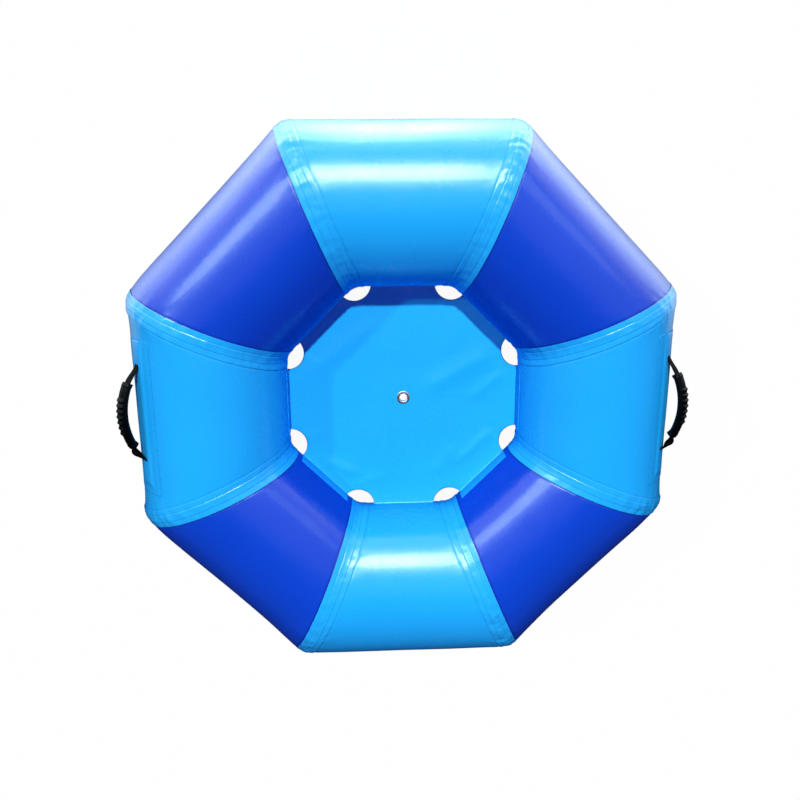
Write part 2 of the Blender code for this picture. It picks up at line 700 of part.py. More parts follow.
def make_plunger(frame_axis, level):
    foot_radius = VALVE_SEAT_RADIUS + FOOT_OVERLAP
    turned("valve_plunger", [
        (0, level["foot"] - FOOT_THICKNESS), (foot_radius, level["foot"] - FOOT_THICKNESS),
        (foot_radius, level["foot"]), (STEM_RADIUS, level["foot"]), (STEM_RADIUS, level["button"]),
        (BUTTON_RADIUS, level["button"]), (BUTTON_RADIUS, level["button_top"]),
        (0, level["button_top"]),
    ], "black_nylon", frame_axis)
    turned("valve_seal", [
        (STEM_RADIUS + CLEARANCE, level["seal"] - SEAL_THICKNESS),
        (VALVE_SEAT_RADIUS + SEAL_OVERLAP, level["seal"] - SEAL_THICKNESS),
        (VALVE_SEAT_RADIUS + SEAL_OVERLAP, level["seal"]), (STEM_RADIUS + CLEARANCE, level["seal"]),
    ], "seal_rubber", frame_axis)
    bottom = level["guide"] + GUIDE_THICKNESS + CLEARANCE + SPRING_WIRE / 2
    top = level["button"] - CLEARANCE - SPRING_WIRE / 2
    count = ceil(SPRING_TURNS * SPRING_STEPS)
    rings = []
    for step in range(count + 1):
        turn = 2 * pi * SPRING_TURNS * step / count
        height = bottom + (top - bottom) * step / count
        out = Vector((cos(turn), sin(turn), 0))
        ring = []
        for side in range(SPRING_SIDES):
            angle = 2 * pi * side / SPRING_SIDES
            reach = SPRING_RADIUS + SPRING_WIRE / 2 * cos(angle)
            ring.append(out * reach + Vector((0, 0, height + SPRING_WIRE / 2 * sin(angle))))
        rings.append(ring)
    loft("valve_spring", rings, "spring_steel", frame_axis)


def hinge_place(level):
    """Where the cap's leash bends: beside the rim, between the leash ring and the skirt."""
    reach = VALVE_RIM_RADIUS + CAP_SKIRT_CLEARANCE + CAP_WALL + HINGE_REACH
    return reach, level["skirt"] - CLEARANCE / 2


def lobed_ring(inside, outside, tab_reach, sides=TURNED_SIDES):
    """Ring of (inner, outer) places in which the sides that face -Y reach out to a straight tab."""
    places = []
    for side in range(sides):
        angle = 2 * pi * (side + 0.5) / sides
        direction = Vector((cos(angle), sin(angle), 0))
        outer = direction * outside
        if direction.y < 0 and abs(direction.x) * outside < LEASH_WIDTH / 2:
            outer = Vector((LEASH_WIDTH / 2 * (1 if direction.x > 0 else -1), -tab_reach, 0))
        places.append((direction * inside, outer))
    return places


def ring_sheet(name, places, low, high, finish, parent):
    upper, lower, faces = [], [], []
    for inner, outer in places:
        upper += [inner + Vector((0, 0, high)), outer + Vector((0, 0, high))]
        lower += [inner + Vector((0, 0, low)), outer + Vector((0, 0, low))]
    for side in range(len(places)):
        first, last = 2 * side, 2 * ((side + 1) % len(places))
        faces.append((first, first + 1, last + 1, last))
    return thick_sheet(name, upper, lower, faces, finish, parent)


def make_cap(frame_axis, level):
    """A push-on cap whose leash bends at the side, and the leash's ring round the valve's rim."""
    outside = VALVE_RIM_RADIUS + CAP_SKIRT_CLEARANCE + CAP_WALL
    hinge_reach, hinge_height = hinge_place(level)
    tab_reach = hinge_reach - CLEARANCE
    places = lobed_ring(VALVE_RIM_RADIUS + CLEARANCE, outside, tab_reach)
    ring_sheet("valve_leash_ring", places, level["leash"], level["leash"] + LEASH_THICKNESS,
               "black_nylon", frame_axis)
    swing = make_axis("valve_cap_axis", frame_axis.matrix_world
                      @ Matrix.Translation((0, -hinge_reach, hinge_height)))
    skirt = level["skirt"]
    tab_top = skirt + LEASH_THICKNESS
    cap_top = level["cap"] + CAP_TOP_THICKNESS
    inner = VALVE_RIM_RADIUS + CAP_SKIRT_CLEARANCE
    plain = lobed_ring(inner, outside, outside)
    lobed = lobed_ring(inner, outside, tab_reach)
    shift = Vector((0, hinge_reach, -hinge_height))
    rows = (
        ([place for place, _ in plain], level["cap"]), ([place for place, _ in plain], skirt),
        ([place for _, place in lobed], skirt), ([place for _, place in lobed], tab_top),
        ([place.normalized() * outside for _, place in plain], tab_top + CLEARANCE),
        ([place.normalized() * outside for _, place in plain], cap_top - VALVE_BEVEL),
        ([place.normalized() * (outside - VALVE_BEVEL) for _, place in plain], cap_top),
    )
    rings = [[place + Vector((0, 0, height)) + shift for place in ring] for ring, height in rows]
    loft("valve_cap", rings, "black_nylon", swing)


def make_valve(panel_piece):
    level = valve_levels()
    axis = make_axis("valve_axis", surface_frame(REAR_PANEL, 0.0, VALVE_ANGLE, 0.0))
    reach, through = VALVE_BARREL_RADIUS + CLEARANCE, 4 * WALL
    outline = [(0, -through), (reach, -through), (reach, through), (0, through)]
    cutter = turned("valve_hole", outline, "cyan_fabric", axis)
    cut(panel_piece, cutter)
    make_valve_body(axis, level)
    make_stem_guide(axis, level)
    make_plunger(axis, level)
    make_cap(axis, level)


def build():
    for old in list(bpy.data.objects):
        bpy.data.objects.remove(old)
    panels = make_panels()
    make_tapes()
    make_floor()
    make_eyelet()
    for side_name in ("left", "right"):
        make_handle(side_name)
    make_valve(panels[REAR_PANEL])
    bpy.context.view_layer.update()


build()
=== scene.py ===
from contextlib import contextmanager
from math import asin, atan2, copysign, cos, exp, pi, radians, sin, sqrt, tan

import bpy
from mathutils import Euler, Matrix, Vector, noise


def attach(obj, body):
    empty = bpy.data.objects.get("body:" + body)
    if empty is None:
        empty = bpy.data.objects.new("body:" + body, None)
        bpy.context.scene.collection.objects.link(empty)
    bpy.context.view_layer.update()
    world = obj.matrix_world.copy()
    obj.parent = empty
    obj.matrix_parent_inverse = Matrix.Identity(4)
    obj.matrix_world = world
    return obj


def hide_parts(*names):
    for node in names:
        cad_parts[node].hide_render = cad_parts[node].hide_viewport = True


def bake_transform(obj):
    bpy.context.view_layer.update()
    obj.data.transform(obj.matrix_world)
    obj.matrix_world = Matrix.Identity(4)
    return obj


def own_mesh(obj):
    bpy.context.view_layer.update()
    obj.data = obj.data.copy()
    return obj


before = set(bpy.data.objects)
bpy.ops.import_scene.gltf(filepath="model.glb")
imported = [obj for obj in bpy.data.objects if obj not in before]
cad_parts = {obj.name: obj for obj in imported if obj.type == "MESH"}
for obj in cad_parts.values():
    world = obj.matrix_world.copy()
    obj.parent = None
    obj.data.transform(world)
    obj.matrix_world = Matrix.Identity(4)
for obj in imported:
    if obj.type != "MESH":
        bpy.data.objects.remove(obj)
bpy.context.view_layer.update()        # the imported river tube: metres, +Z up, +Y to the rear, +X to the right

# The ring, as the construction has it
ring = {
    "acrossFlats": 1.200, "tubeRadius": 0.170, "tapeThickness": 0.0009,
    "outerRounding": 0.026, "innerRounding": 0.010,     # how far a mitre's corner is eased
    "gap": 0.0003,              # air left between two skins that touch
    "panels": ("right", "rear_right", "rear", "rear_left", "left", "front_left", "front", "front_right"),
}
panelCount = len(ring["panels"])
sector = 2 * pi / panelCount
tubeRadius, gap = ring["tubeRadius"], ring["gap"]
ringRadius = ring["acrossFlats"] / 2 - tubeRadius
tubeHeight = tubeRadius + gap + ring["tapeThickness"]
sharpAngle = radians(32)
sameSpot, sameFineSpot = 0.00001, 0.000002      # vertices this near to each other are one


# A share held between 0 and 1, a straight fade and a soft step there, and a bell that fades to both sides
def clamp(value):
    return min(1.0, max(0.0, value))


def fade(distance, width):
    return max(0.0, 1 - distance / width)


def softStep(value):
    share = clamp(value)
    return share * share * (3 - 2 * share)


def bell(distance, width):
    return exp(-(distance / width) ** 2)


# Working by hand: what is selected, and what an operator then acts on
def selectOnly(piece):
    bpy.ops.object.select_all(action="DESELECT")
    piece.select_set(True)
    bpy.context.view_layer.objects.active = piece


@contextmanager
def editing(piece, action="SELECT"):
    # the operators inside the block act on the piece's whole mesh, or on none of it yet
    selectOnly(piece)
    bpy.ops.object.mode_set(mode="EDIT")
    bpy.ops.mesh.select_all(action=action)
    yield
    bpy.ops.object.mode_set(mode="OBJECT")


def mergeDoubles(piece, distance=sameSpot):
    with editing(piece):
        bpy.ops.mesh.remove_doubles(threshold=distance)


def faceOutward(piece, outward):
    # makes the faces agree, then turns them all if they look away from the direction that is outside
    with editing(piece):
        bpy.ops.mesh.normals_make_consistent(inside=False)
    agreement = sum(face.normal.dot(outward(face.center)) * face.area for face in piece.data.polygons)
    if agreement < 0:
        with editing(piece):
            bpy.ops.mesh.flip_normals()


def applyModifier(piece, kind, **settings):
    selectOnly(piece)
    modifier = piece.modifiers.new(kind.lower(), kind)
    for setting, value in settings.items():
        setattr(modifier, setting, value)
    bpy.ops.object.modifier_apply(modifier=modifier.name)


def addShape(operator, name, **settings):
    bpy.ops.object.select_all(action="DESELECT")
    operator(**settings)
    piece = bpy.context.object
    piece.name = piece.data.name = name
    return piece


def bakePlace(piece, matrix):
    piece.data.transform(matrix)
    piece.matrix_world = Matrix.Identity(4)


def addBlock(matrix, *sizes):
    block = addShape(bpy.ops.mesh.primitive_cube_add, "block", size=1)
    bakePlace(block, matrix @ Matrix.Diagonal((*sizes, 1)))
    return block


def combine(piece, other, operation):
    applyModifier(piece, "BOOLEAN", operation=operation, solver="EXACT", object=other)
    bpy.data.objects.remove(other)


def layGrid(name, columns, rows, place):
    # a grid, laid so that its column and row go where place() says; the cloth's own metres go in the UV map
    piece = addShape(bpy.ops.mesh.primitive_grid_add, name, x_subdivisions=columns, y_subdivisions=rows,
                     size=1, calc_uvs=True)
    flatSpots = {}
    for vertex in piece.data.vertices:
        column = round((vertex.co.x + 0.5) * columns)
        row = round((vertex.co.y + 0.5) * rows)
        vertex.co, flatSpots[vertex.index] = place(column, row)
    layer = piece.data.uv_layers.active.data
    for loop in piece.data.loops:
        layer[loop.index].uv = flatSpots[loop.vertex_index]
    return piece


def turnPiece(name, turns, easing, corners):
    # an outline of (radius, height) corners, rounded, closed by a circle's edges and spun about Z
    profile = softProfile(corners, easing)
    piece = addShape(bpy.ops.mesh.primitive_circle_add, name, vertices=len(profile))
    for vertex, (radius, height) in zip(piece.data.vertices, profile):
        vertex.co = (radius, 0, height)
    with editing(piece):
        bpy.ops.mesh.spin(steps=turns, angle=2 * pi, center=(0, 0, 0), axis=(0, 0, 1))
        bpy.ops.mesh.select_all(action="SELECT")
        bpy.ops.mesh.remove_doubles(threshold=sameSpot / 2)
        bpy.ops.mesh.normals_make_consistent(inside=False)
    return piece


def softProfile(corners, easing, steps=4, mostOfEdge=0.45):
    # rounds each corner of a closed outline; a corner may bring its own radius as a third value
    points = []
    for index, corner in enumerate(corners):
        here = Vector(corner[:2])
        before, after = Vector(corners[index - 1][:2]), Vector(corners[(index + 1) % len(corners)][:2])
        radius = corner[2] if len(corner) > 2 else easing
        back, ahead = before - here, after - here
        reach = min(radius, back.length * mostOfEdge, ahead.length * mostOfEdge)
        if reach <= 0 or here.x == 0:
            points.append(tuple(here))
            continue
        first, last = here + back.normalized() * reach, here + ahead.normalized() * reach
        for step in range(steps + 1):
            share = step / steps
            point = first * (1 - share) ** 2 + here * 2 * share * (1 - share) + last * share ** 2
            points.append(tuple(point))
    return points


def shadeWelds(piece, shadeOf):
    # painted shade: how dark the cloth is painted beside a weld, in a pressed track or on a cut edge, where
    # shade falls; kept on the mesh for the material
    shade = piece.data.attributes.new("paintedWeldShade", "FLOAT", "POINT")
    for vertex in piece.data.vertices:
        shade.data[vertex.index].value = shadeOf(vertex.co)


def finishPiece(piece, material, body, slotName, *nodes):
    piece.data.materials.clear()
    piece.data.materials.append(material)
    selectOnly(piece)
    bpy.ops.object.shade_smooth_by_angle(angle=sharpAngle)
    if body:
        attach(piece, body)
    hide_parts(*nodes)


# Places on the ring: a panel is a number from 0, and a seam lies half a number further on
def panelDirections(panel):
    turn = panel * sector
    return Vector((cos(turn), sin(turn), 0)), Vector((-sin(turn), cos(turn), 0))


def skinNormal(panel, angle):
    return panelDirections(panel)[0] * cos(angle) + Vector((0, 0, sin(angle)))


def sectionPlace(angle, offset):
    distance = tubeRadius + offset
    return ringRadius + distance * cos(angle), tubeHeight + distance * sin(angle)


def sectionAngle(reach, height):
    return atan2(height - tubeHeight, reach - ringRadius)


def panelPlace(panel, along, angle, offset):
    outward, direction = panelDirections(panel)
    reach, height = sectionPlace(angle, offset)
    return outward * reach + direction * along + Vector((0, 0, height))


def surfaceFrame(panel, along, angle, offset):
    # axes on a panel: X along it, Y up round the section, Z out of it
    direction, normal = panelDirections(panel)[1], skinNormal(panel, angle)
    matrix = Matrix((direction, normal.cross(direction), normal)).transposed().to_4x4()
    matrix.translation = panelPlace(panel, along, angle, offset)
    return matrix


def mitrePlace(seam, side, distance, angle, offset):
    # beside a mitre, at a distance from its plane; the corner over the plane is eased
    reach, height = sectionPlace(angle, offset)
    easing = ring["innerRounding"] + (ring["outerRounding"] - ring["innerRounding"]) * (1 + cos(angle)) / 2
    eased = distance if distance >= easing else (distance ** 2 + easing ** 2) / (2 * easing)
    outward, across = panelDirections(seam + 0.5)
    radius = reach / cos(sector / 2) - tan(sector / 2) * eased
    return outward * radius + across * side * distance + Vector((0, 0, height))


# Nothing welded by hand lies dead flat: gathers beside each weld, and slow unevenness between them
cloth = {
    "gathers": (        # height, pitch round the tube, reach to each side of the mitre
        (0.00085, 0.0090, 0.020),
        (0.00095, 0.0170, 0.031),
        (0.00080, 0.0800, 0.085),
    ),
    "seamShift": 5.7, "panelShift": 3.1,        # so that no two seams or panels are alike
    "shoulderAngle": radians(50), "shoulderSpread": radians(32), "shoulderGathers": 1.1,
    "swellHeight": 0.0011, "swellPitch": 0.150, "swellFrom": 0.07,
    "tautBelow": (0.5, 1.5),                    # the underside lies taut on the ground
    "bowAngle": radians(18),
    "bows": {       # how far a panel's shoulder lies in, the share of it at its mitres, reach, spread round
        "left": (0.0100, 0.50, 0.034, radians(50)), "right": (0.0070, 0.50, 0.034, radians(50)),
        "front": (-0.0085, 0.95, 0.090, radians(36)), "rear": (-0.0035, 0.80, 0.050, radians(36)),
    },
}


def gathers(seam, distance, angle):
    total = 0
    for height, pitch, reach in cloth["gathers"]:
        spot = Vector((cos(angle), sin(angle), 0)) * (tubeRadius / pitch)
        spot.z = seam * cloth["seamShift"] + distance / reach
        total += height * noise.noise(spot) * bell(distance, reach)
    onShoulder = bell(angle - cloth["shoulderAngle"], cloth["shoulderSpread"])
    return total * (1 + cloth["shoulderGathers"] * onShoulder)


def seamDistances(along, angle):
    # from a place on a panel to the mitre before it and the one after it
    reach = ringRadius + tubeRadius * cos(angle)
    return [max(0.0, (reach * tan(sector / 2) - side * along) * cos(sector / 2)) for side in (-1, 1)]


def bowDepth(panel, before, after, angle):
    # the side panels are held in by their patches, the others press out; neighbours' ends go with them
    around = (angle - cloth["bowAngle"] + pi) % (2 * pi) - pi
    total = 0
    for step, distance in ((0, min(before, after)), (-1, before), (1, after)):
        bow = cloth["bows"].get(ring["panels"][(panel + step) % panelCount])
        if bow:
            depth, atMitre, reach, spread = bow
            nearMitre = bell(distance, reach)
            share = atMitre * nearMitre if step else 1 - (1 - atMitre) * nearMitre
            total += depth * bell(around, spread) * share
    return total


def skinRelief(panel, along, angle):
    panel %= panelCount
    before, after = seamDistances(along, angle)
    gathered = gathers((panel - 1) % panelCount, -before, angle) + gathers(panel, after, angle)
    spot = panelPlace(panel, along, angle, 0) / cloth["swellPitch"]
    spot += Vector((0, 0, panel * cloth["panelShift"]))
    swell = cloth["swellHeight"] * noise.noise(spot) * (1 - bell(min(before, after), cloth["swellFrom"]))
    level, slope = cloth["tautBelow"]
    return (gathered + swell) * clamp(level + slope * sin(angle)) - bowDepth(panel, before, after, angle)


# Shader building blocks
def addNode(tree, kind, inputs=(), **settings):
    # a node of this kind, with each named input set to a value or fed by another node's output
    node = tree.nodes.new("ShaderNode" + kind)
    for setting, value in settings.items():
        setattr(node, setting, value)
    for label, value in dict(inputs).items():
        if isinstance(value, bpy.types.NodeSocket):
            tree.links.new(value, node.inputs[label])
        else:
            node.inputs[label].default_value = value
    return node


def addMath(tree, operation, *values):
    return addNode(tree, "Math", enumerate(values), operation=operation).outputs[0]


def rampBetween(tree, mask, low, high, start=0.3, end=0.7):
    # a colour or a grey that runs from low to high as the mask does
    ramp = addNode(tree, "ValToRGB", {"Fac": mask})
    for element, position, value in zip(ramp.color_ramp.elements, (start, end), (low, high)):
        element.position = position
        element.color = (*value, 1) if isinstance(value, tuple) else (value, value, value, 1)
    return ramp.outputs["Color"]


def addBump(tree, height, distance, **under):
    inputs = {"Strength": 1.0, "Height": height, "Distance": distance, **under}
    return addNode(tree, "Bump", inputs).outputs["Normal"]


def mixColours(tree, factor, first, second, **settings):
    inputs = {"Factor": factor, "A": first, "B": second}
    return addNode(tree, "Mix", inputs, data_type="RGBA", **settings).outputs["Result"]


def newGroup(name, vectorIn, numbersIn, numbersOut):
    # one vector and some numbers go in, and numbers come out
    group = bpy.data.node_groups.new(name, "ShaderNodeTree")
    sockets = [(vectorIn, "INPUT", "Vector")] + [(label, "INPUT", "Float") for label in numbersIn]
    for label, way, kind in sockets + [(label, "OUTPUT", "Float") for label in numbersOut]:
        group.interface.new_socket(name=label, in_out=way, socket_type=f"NodeSocket{kind}")
    return group, group.nodes.new("NodeGroupInput").outputs, group.nodes.new("NodeGroupOutput").inputs


def makeThreadGroup():
    # two crossing sets of threads, from a cloth map in metres
    group, given, result = newGroup("crossingThreads", "Map", ("Pitch Across", "Pitch Along"),
                                    ("Height", "Valley"))
    split = addNode(group, "SeparateXYZ", {0: given["Map"]})
    waves = []
    for axis, pitch in (("X", "Pitch Across"), ("Y", "Pitch Along")):
        turns = addMath(group, "DIVIDE", split.outputs[axis], given[pitch])
        waves.append(addMath(group, "SINE", addMath(group, "MULTIPLY", turns, 2 * pi)))
    height = addMath(group, "MULTIPLY", *waves)
    group.links.new(height, result["Height"])
    group.links.new(addMath(group, "MULTIPLY", addMath(group, "ADD", height, 1.0), 0.5), result["Valley"])
    return group


noiseDetail = {"Tone": 3.0, "Marks": 6.0, "Grain": 2.0}
grainFineness = 30.0        # how many times finer the grain is than the marks


def makeToneGroup():
    # slow changes of tone, handling marks and a fine grain, each from 0 to 1
    group, given, result = newGroup("toneAndMarks", "Place", ("Tone Scale", "Mark Scale"), noiseDetail)
    grainScale = addMath(group, "MULTIPLY", given["Mark Scale"], grainFineness)
    for label, scale in zip(noiseDetail, (given["Tone Scale"], given["Mark Scale"], grainScale)):
        texture = addNode(group, "TexNoise", {
            "Vector": given["Place"], "Scale": scale, "Detail": noiseDetail[label]})
        group.links.new(texture.outputs["Fac"], result[label])
    return group


threadGroup = makeThreadGroup()
toneGroup = makeToneGroup()


def startMaterial(name, look):
    material = bpy.data.materials.new(name)
    material.use_nodes = True
    tree = material.node_tree
    shader = tree.nodes["Principled BSDF"]
    for label in ("Metallic", "IOR", "Coat Weight", "Coat Roughness", "Coat IOR", "Specular IOR Level"):
        if label in look:
            shader.inputs[label].default_value = look[label]
    place = addNode(tree, "TexCoord").outputs
    tones = addNode(tree, "Group", {
        "Place": place["Object"], "Tone Scale": look["toneScale"], "Mark Scale": look["markScale"],
    }, node_tree=toneGroup).outputs
    rough = rampBetween(tree, tones["Marks"], look["smoothest"], look["roughest"])
    tree.links.new(rough, shader.inputs["Roughness"])
    return material, tree, shader.inputs, place["UV"], tones


def addThreads(tree, clothMap, across, along):
    return addNode(tree, "Group", {"Map": clothMap, "Pitch Across": across, "Pitch Along": along},
                   node_tree=threadGroup).outputs


def makeCoatedFabric(name, look):
    # vinyl over a woven scrim: the threads print through faintly, under a glossy coat; painted shade darkens
    # the colour beside welds and on cut edges
    material, tree, surface, clothMap, tones = startMaterial(name, look)
    weld = addNode(tree, "Attribute", attribute_name="paintedWeldShade").outputs["Fac"]
    tone = rampBetween(tree, tones["Tone"], look["deep"], look["light"])
    tree.links.new(mixColours(tree, weld, tone, (*look["paintedShadeColour"], 1)), surface["Base Color"])
    threads = addThreads(tree, clothMap, look["threadPitch"], look["threadPitch"])
    scrim = addBump(tree, threads["Height"], look["scrimDepth"])
    tree.links.new(addBump(tree, tones["Marks"], look["markDepth"], Normal=scrim), surface["Normal"])
    return material


def makeWovenTape(name, look):
    material, tree, surface, clothMap, tones = startMaterial(name, look)
    threads = addThreads(tree, clothMap, look["pitchAcross"], look["pitchAlong"])
    woven = rampBetween(tree, threads["Valley"], look["deep"], look["light"], *look["valleys"])
    worn = rampBetween(tree, tones["Marks"], look["faded"], 1.0)
    tree.links.new(mixColours(tree, 1.0, woven, worn, blend_type="MULTIPLY"), surface["Base Color"])
    tree.links.new(addBump(tree, threads["Height"], look["threadDepth"]), surface["Normal"])
    return material


def makeMoulded(name, look):
    # rubber, nylon and plated metal: tone, handling marks and a fine grain in the surface
    material, tree, surface, clothMap, tones = startMaterial(name, look)
    tree.links.new(rampBetween(tree, tones["Tone"], look["deep"], look["light"]), surface["Base Color"])
    tree.links.new(addBump(tree, tones["Grain"], look["grainDepth"]), surface["Normal"])
    return material


fabricLook = {
    "toneScale": 3.0, "markScale": 22.0, "smoothest": 0.25, "roughest": 0.31, "IOR": 1.45,
    "Coat Weight": 0.25, "Coat Roughness": 0.12, "Coat IOR": 1.5,
    "threadPitch": 0.0011, "scrimDepth": 0.000012, "markDepth": 0.00005,
}
# each fabric's last colour is the painted shade it takes beside welds and on cut edges
cyanFabric = makeCoatedFabric("cyan coated fabric", {
    **fabricLook, "deep": (0.0120, 0.440, 0.950), "light": (0.0150, 0.465, 0.975),
    "paintedShadeColour": (0.0002, 0.025, 0.120)})
tapeFabric = makeCoatedFabric("cyan seam tape", {
    **fabricLook, "deep": (0.0140, 0.450, 0.955), "light": (0.0180, 0.475, 0.980),
    "paintedShadeColour": (0.0002, 0.030, 0.220)})
royalFabric = makeCoatedFabric("royal coated fabric", {
    **fabricLook, "deep": (0.0020, 0.0550, 0.560), "light": (0.0030, 0.0620, 0.600),
    "paintedShadeColour": (0.0002, 0.010, 0.170)})
blackWebbing = makeWovenTape("black webbing", {
    "toneScale": 8.0, "markScale": 90.0, "smoothest": 0.62, "roughest": 0.82, "faded": 0.75,
    "pitchAcross": 0.0022, "pitchAlong": 0.0016, "threadDepth": 0.00022, "valleys": (0.1, 0.9),
    "Specular IOR Level": 0.045, "deep": (0.0006, 0.0006, 0.0010), "light": (0.0026, 0.0028, 0.0036)})
blackRubber = makeMoulded("black moulded rubber", {
    "toneScale": 20.0, "markScale": 60.0, "smoothest": 0.27, "roughest": 0.38, "grainDepth": 0.00003,
    "Specular IOR Level": 0.07, "deep": (0.0006, 0.0010, 0.0016), "light": (0.0012, 0.0018, 0.0028)})
brightNickel = makeMoulded("nickel plate", {
    "toneScale": 60.0, "markScale": 160.0, "smoothest": 0.16, "roughest": 0.30, "Metallic": 1.0,
    "grainDepth": 0.000008, "deep": (0.70, 0.71, 0.72), "light": (0.82, 0.83, 0.84)})
blackNylon = makeMoulded("black nylon", {
    "toneScale": 30.0, "markScale": 90.0, "smoothest": 0.38, "roughest": 0.52, "grainDepth": 0.00002,
    "deep": (0.015, 0.015, 0.017), "light": (0.024, 0.024, 0.027)})
sealRubber = makeMoulded("matt seal rubber", {
    "toneScale": 40.0, "markScale": 120.0, "smoothest": 0.60, "roughest": 0.75, "grainDepth": 0.00003,
    "deep": (0.022, 0.022, 0.022), "light": (0.036, 0.036, 0.035)})
springSteel = makeMoulded("spring wire", {
    "toneScale": 80.0, "markScale": 300.0, "smoothest": 0.24, "roughest": 0.38, "Metallic": 1.0,
    "grainDepth": 0.000005, "deep": (0.50, 0.51, 0.52), "light": (0.64, 0.65, 0.66)})
print("materials made")

# Tube panels: one skin is laid and mitred, then copied round, gathered at its welds and given its wall
skin = {
    "wall": 0.0009, "sides": 240, "middleRows": 16,
    "rowsFromSeam": (0.00015, 0.0040, 0.0080, 0.0120, 0.0160, 0.0190, 0.0206, 0.0214, 0.0222, 0.0230, 0.0240,
                     0.0260, 0.0290, 0.0330, 0.0380, 0.0440, 0.0520, 0.0620),
    # the last pair is how dark the painted shade in each groove is, on cyan and on royal panels
    "grooveAt": 0.0222, "grooveWidth": 0.0013, "grooveDepth": 0.00055, "grooveShades": (0.16, 0.85),
    "slots": ("cyan_fabric", "royal_fabric"),
}


def layPanel():
    fromSeam, middleRows = skin["rowsFromSeam"], skin["middleRows"]
    seamRows, reach = len(fromSeam) - 1, fromSeam[-1]

    def place(column, row):
        angle = 2 * pi * column / skin["sides"]
        if row <= seamRows:
            point = mitrePlace(-1, 1, fromSeam[row], angle, 0)
        elif row >= seamRows + middleRows:
            point = mitrePlace(0, -1, fromSeam[2 * seamRows + middleRows - row], angle, 0)
        else:
            first, last = mitrePlace(-1, 1, reach, angle, 0), mitrePlace(0, -1, reach, angle, 0)
            point = first.lerp(last, (row - seamRows) / middleRows)
        return point, (point.y, angle * tubeRadius)

    piece = layGrid("panel pattern", skin["sides"], 2 * seamRows + middleRows, place)
    mergeDoubles(piece)
    faceOutward(piece, lambda point: Vector((point.x - ringRadius, 0, point.z - tubeHeight)))
    return piece


def grooveShape(along, angle):
    # the skin is pressed in a little along each tape's edge, and painted shade follows the same groove
    return sum(bell(distance - skin["grooveAt"], skin["grooveWidth"])
               for distance in seamDistances(along, angle))


def copyPanel(pattern, panel, name):
    piece = pattern.copy()
    piece.data = pattern.data.copy()
    piece.name = piece.data.name = name
    bpy.context.scene.collection.objects.link(piece)
    # painted shade in the pressed groove beside each tape, where shade falls
    darkest = skin["grooveShades"][panel % 2]
    shadeWelds(piece, lambda point: darkest * grooveShape(point.y, sectionAngle(point.x, point.z)) ** 2)
    for vertex in piece.data.vertices:
        along, angle = vertex.co.y, sectionAngle(vertex.co.x, vertex.co.z)
        pressed = skin["grooveDepth"] * grooveShape(along, angle)
        vertex.co += skinNormal(0, angle) * (skinRelief(panel, along, angle) - pressed)
    piece.data.transform(Matrix.Rotation(panel * sector, 4, "Z"))
    applyModifier(piece, "SOLIDIFY", thickness=skin["wall"], offset=-1)
    return piece


valve = {
    "angle": radians(-30), "panel": 2, "hole": 0.0153, "holeDepth": 0.020,
    "barrel": 0.015, "flange": 0.025, "flangeThickness": 0.003, "gasketTop": 0.0018, "rim": 0.017,
    "rimHeight": 0.007, "bore": 0.011, "seat": 0.0085, "depth": 0.012, "ledge": 0.0027,
    "turns": 96, "easing": 0.0006, "fineEasing": 0.0003,
    "groove": 0.0035, "grooveStep": 0.0005, "grooveDepth": 0.0004,
    "capClearance": 0.0006, "capWall": 0.0026, "capTop": 0.0023, "capDish": 0.0012,
    "capBorder": 0.0030, "capSlope": 0.0012, "gripNotches": 24, "notchDepth": 0.00035,
    "notchesFrom": 0.0018, "notchesTo": 0.0012, "notchReach": 0.0002,
    "leashThickness": 0.0011, "leashWidth": 0.008, "hingeReach": 0.0038, "tabEasing": 0.00035,
}
valveFrame = surfaceFrame(valve["panel"], 0, valve["angle"], 0)

pattern = layPanel()
for panel, panelName in enumerate(ring["panels"]):
    piece = copyPanel(pattern, panel, f"skin_{panelName}")
    if panel == valve["panel"]:
        cutter = addShape(bpy.ops.mesh.primitive_cylinder_add, "valve hole", vertices=valve["turns"],
                          radius=valve["hole"], depth=valve["holeDepth"])
        bakePlace(cutter, valveFrame)
        combine(piece, cutter, "DIFFERENCE")
    finishPiece(piece, (cyanFabric, royalFabric)[panel % 2], "ring", skin["slots"][panel % 2],
                f"tube_panel_{panelName}")
bpy.data.objects.remove(pattern)
print("tube panels made")

# Seam tapes: a strip over each mitre, raised where the skins overlap below it, pressed in along that step
tape = {
    "width": 0.041, "rows": 48, "sides": 240, "thickness": 0.0006,
    "stepHeight": 0.00065, "stepAt": 0.0075, "stepWidth": 0.0018,
    # the tracks are pressed in; the track and edge shades are painted shade in the tracks and on the tape's
    # edges
    "trackAt": 0.0088, "trackWidth": 0.0007, "trackDepth": 0.00030, "trackShade": 0.20,
    "feather": 0.00035, "featherWidth": 0.0016, "edge": 0.0003, "edgeShade": 0.10, "flatBelow": 6,
}


def tapeRelief(distance):
    fromStep = tape["stepAt"] + tape["stepWidth"] / 2 - abs(distance)
    step = tape["stepHeight"] * softStep(fromStep / tape["stepWidth"])
    track = tape["trackDepth"] * bell(abs(distance) - tape["trackAt"], tape["trackWidth"])
    fromEdge = max(0.0, tape["width"] / 2 - abs(distance))
    return step - track - tape["feather"] * fade(fromEdge, tape["featherWidth"])


# painted shade in the pressed tracks and along the tape's edges, where shade falls
def tapeShade(distance):
    track = tape["trackShade"] * bell(abs(distance) - tape["trackAt"], tape["trackWidth"])
    return track + (tape["edgeShade"] if abs(distance) > tape["width"] / 2 - tape["edge"] else 0)


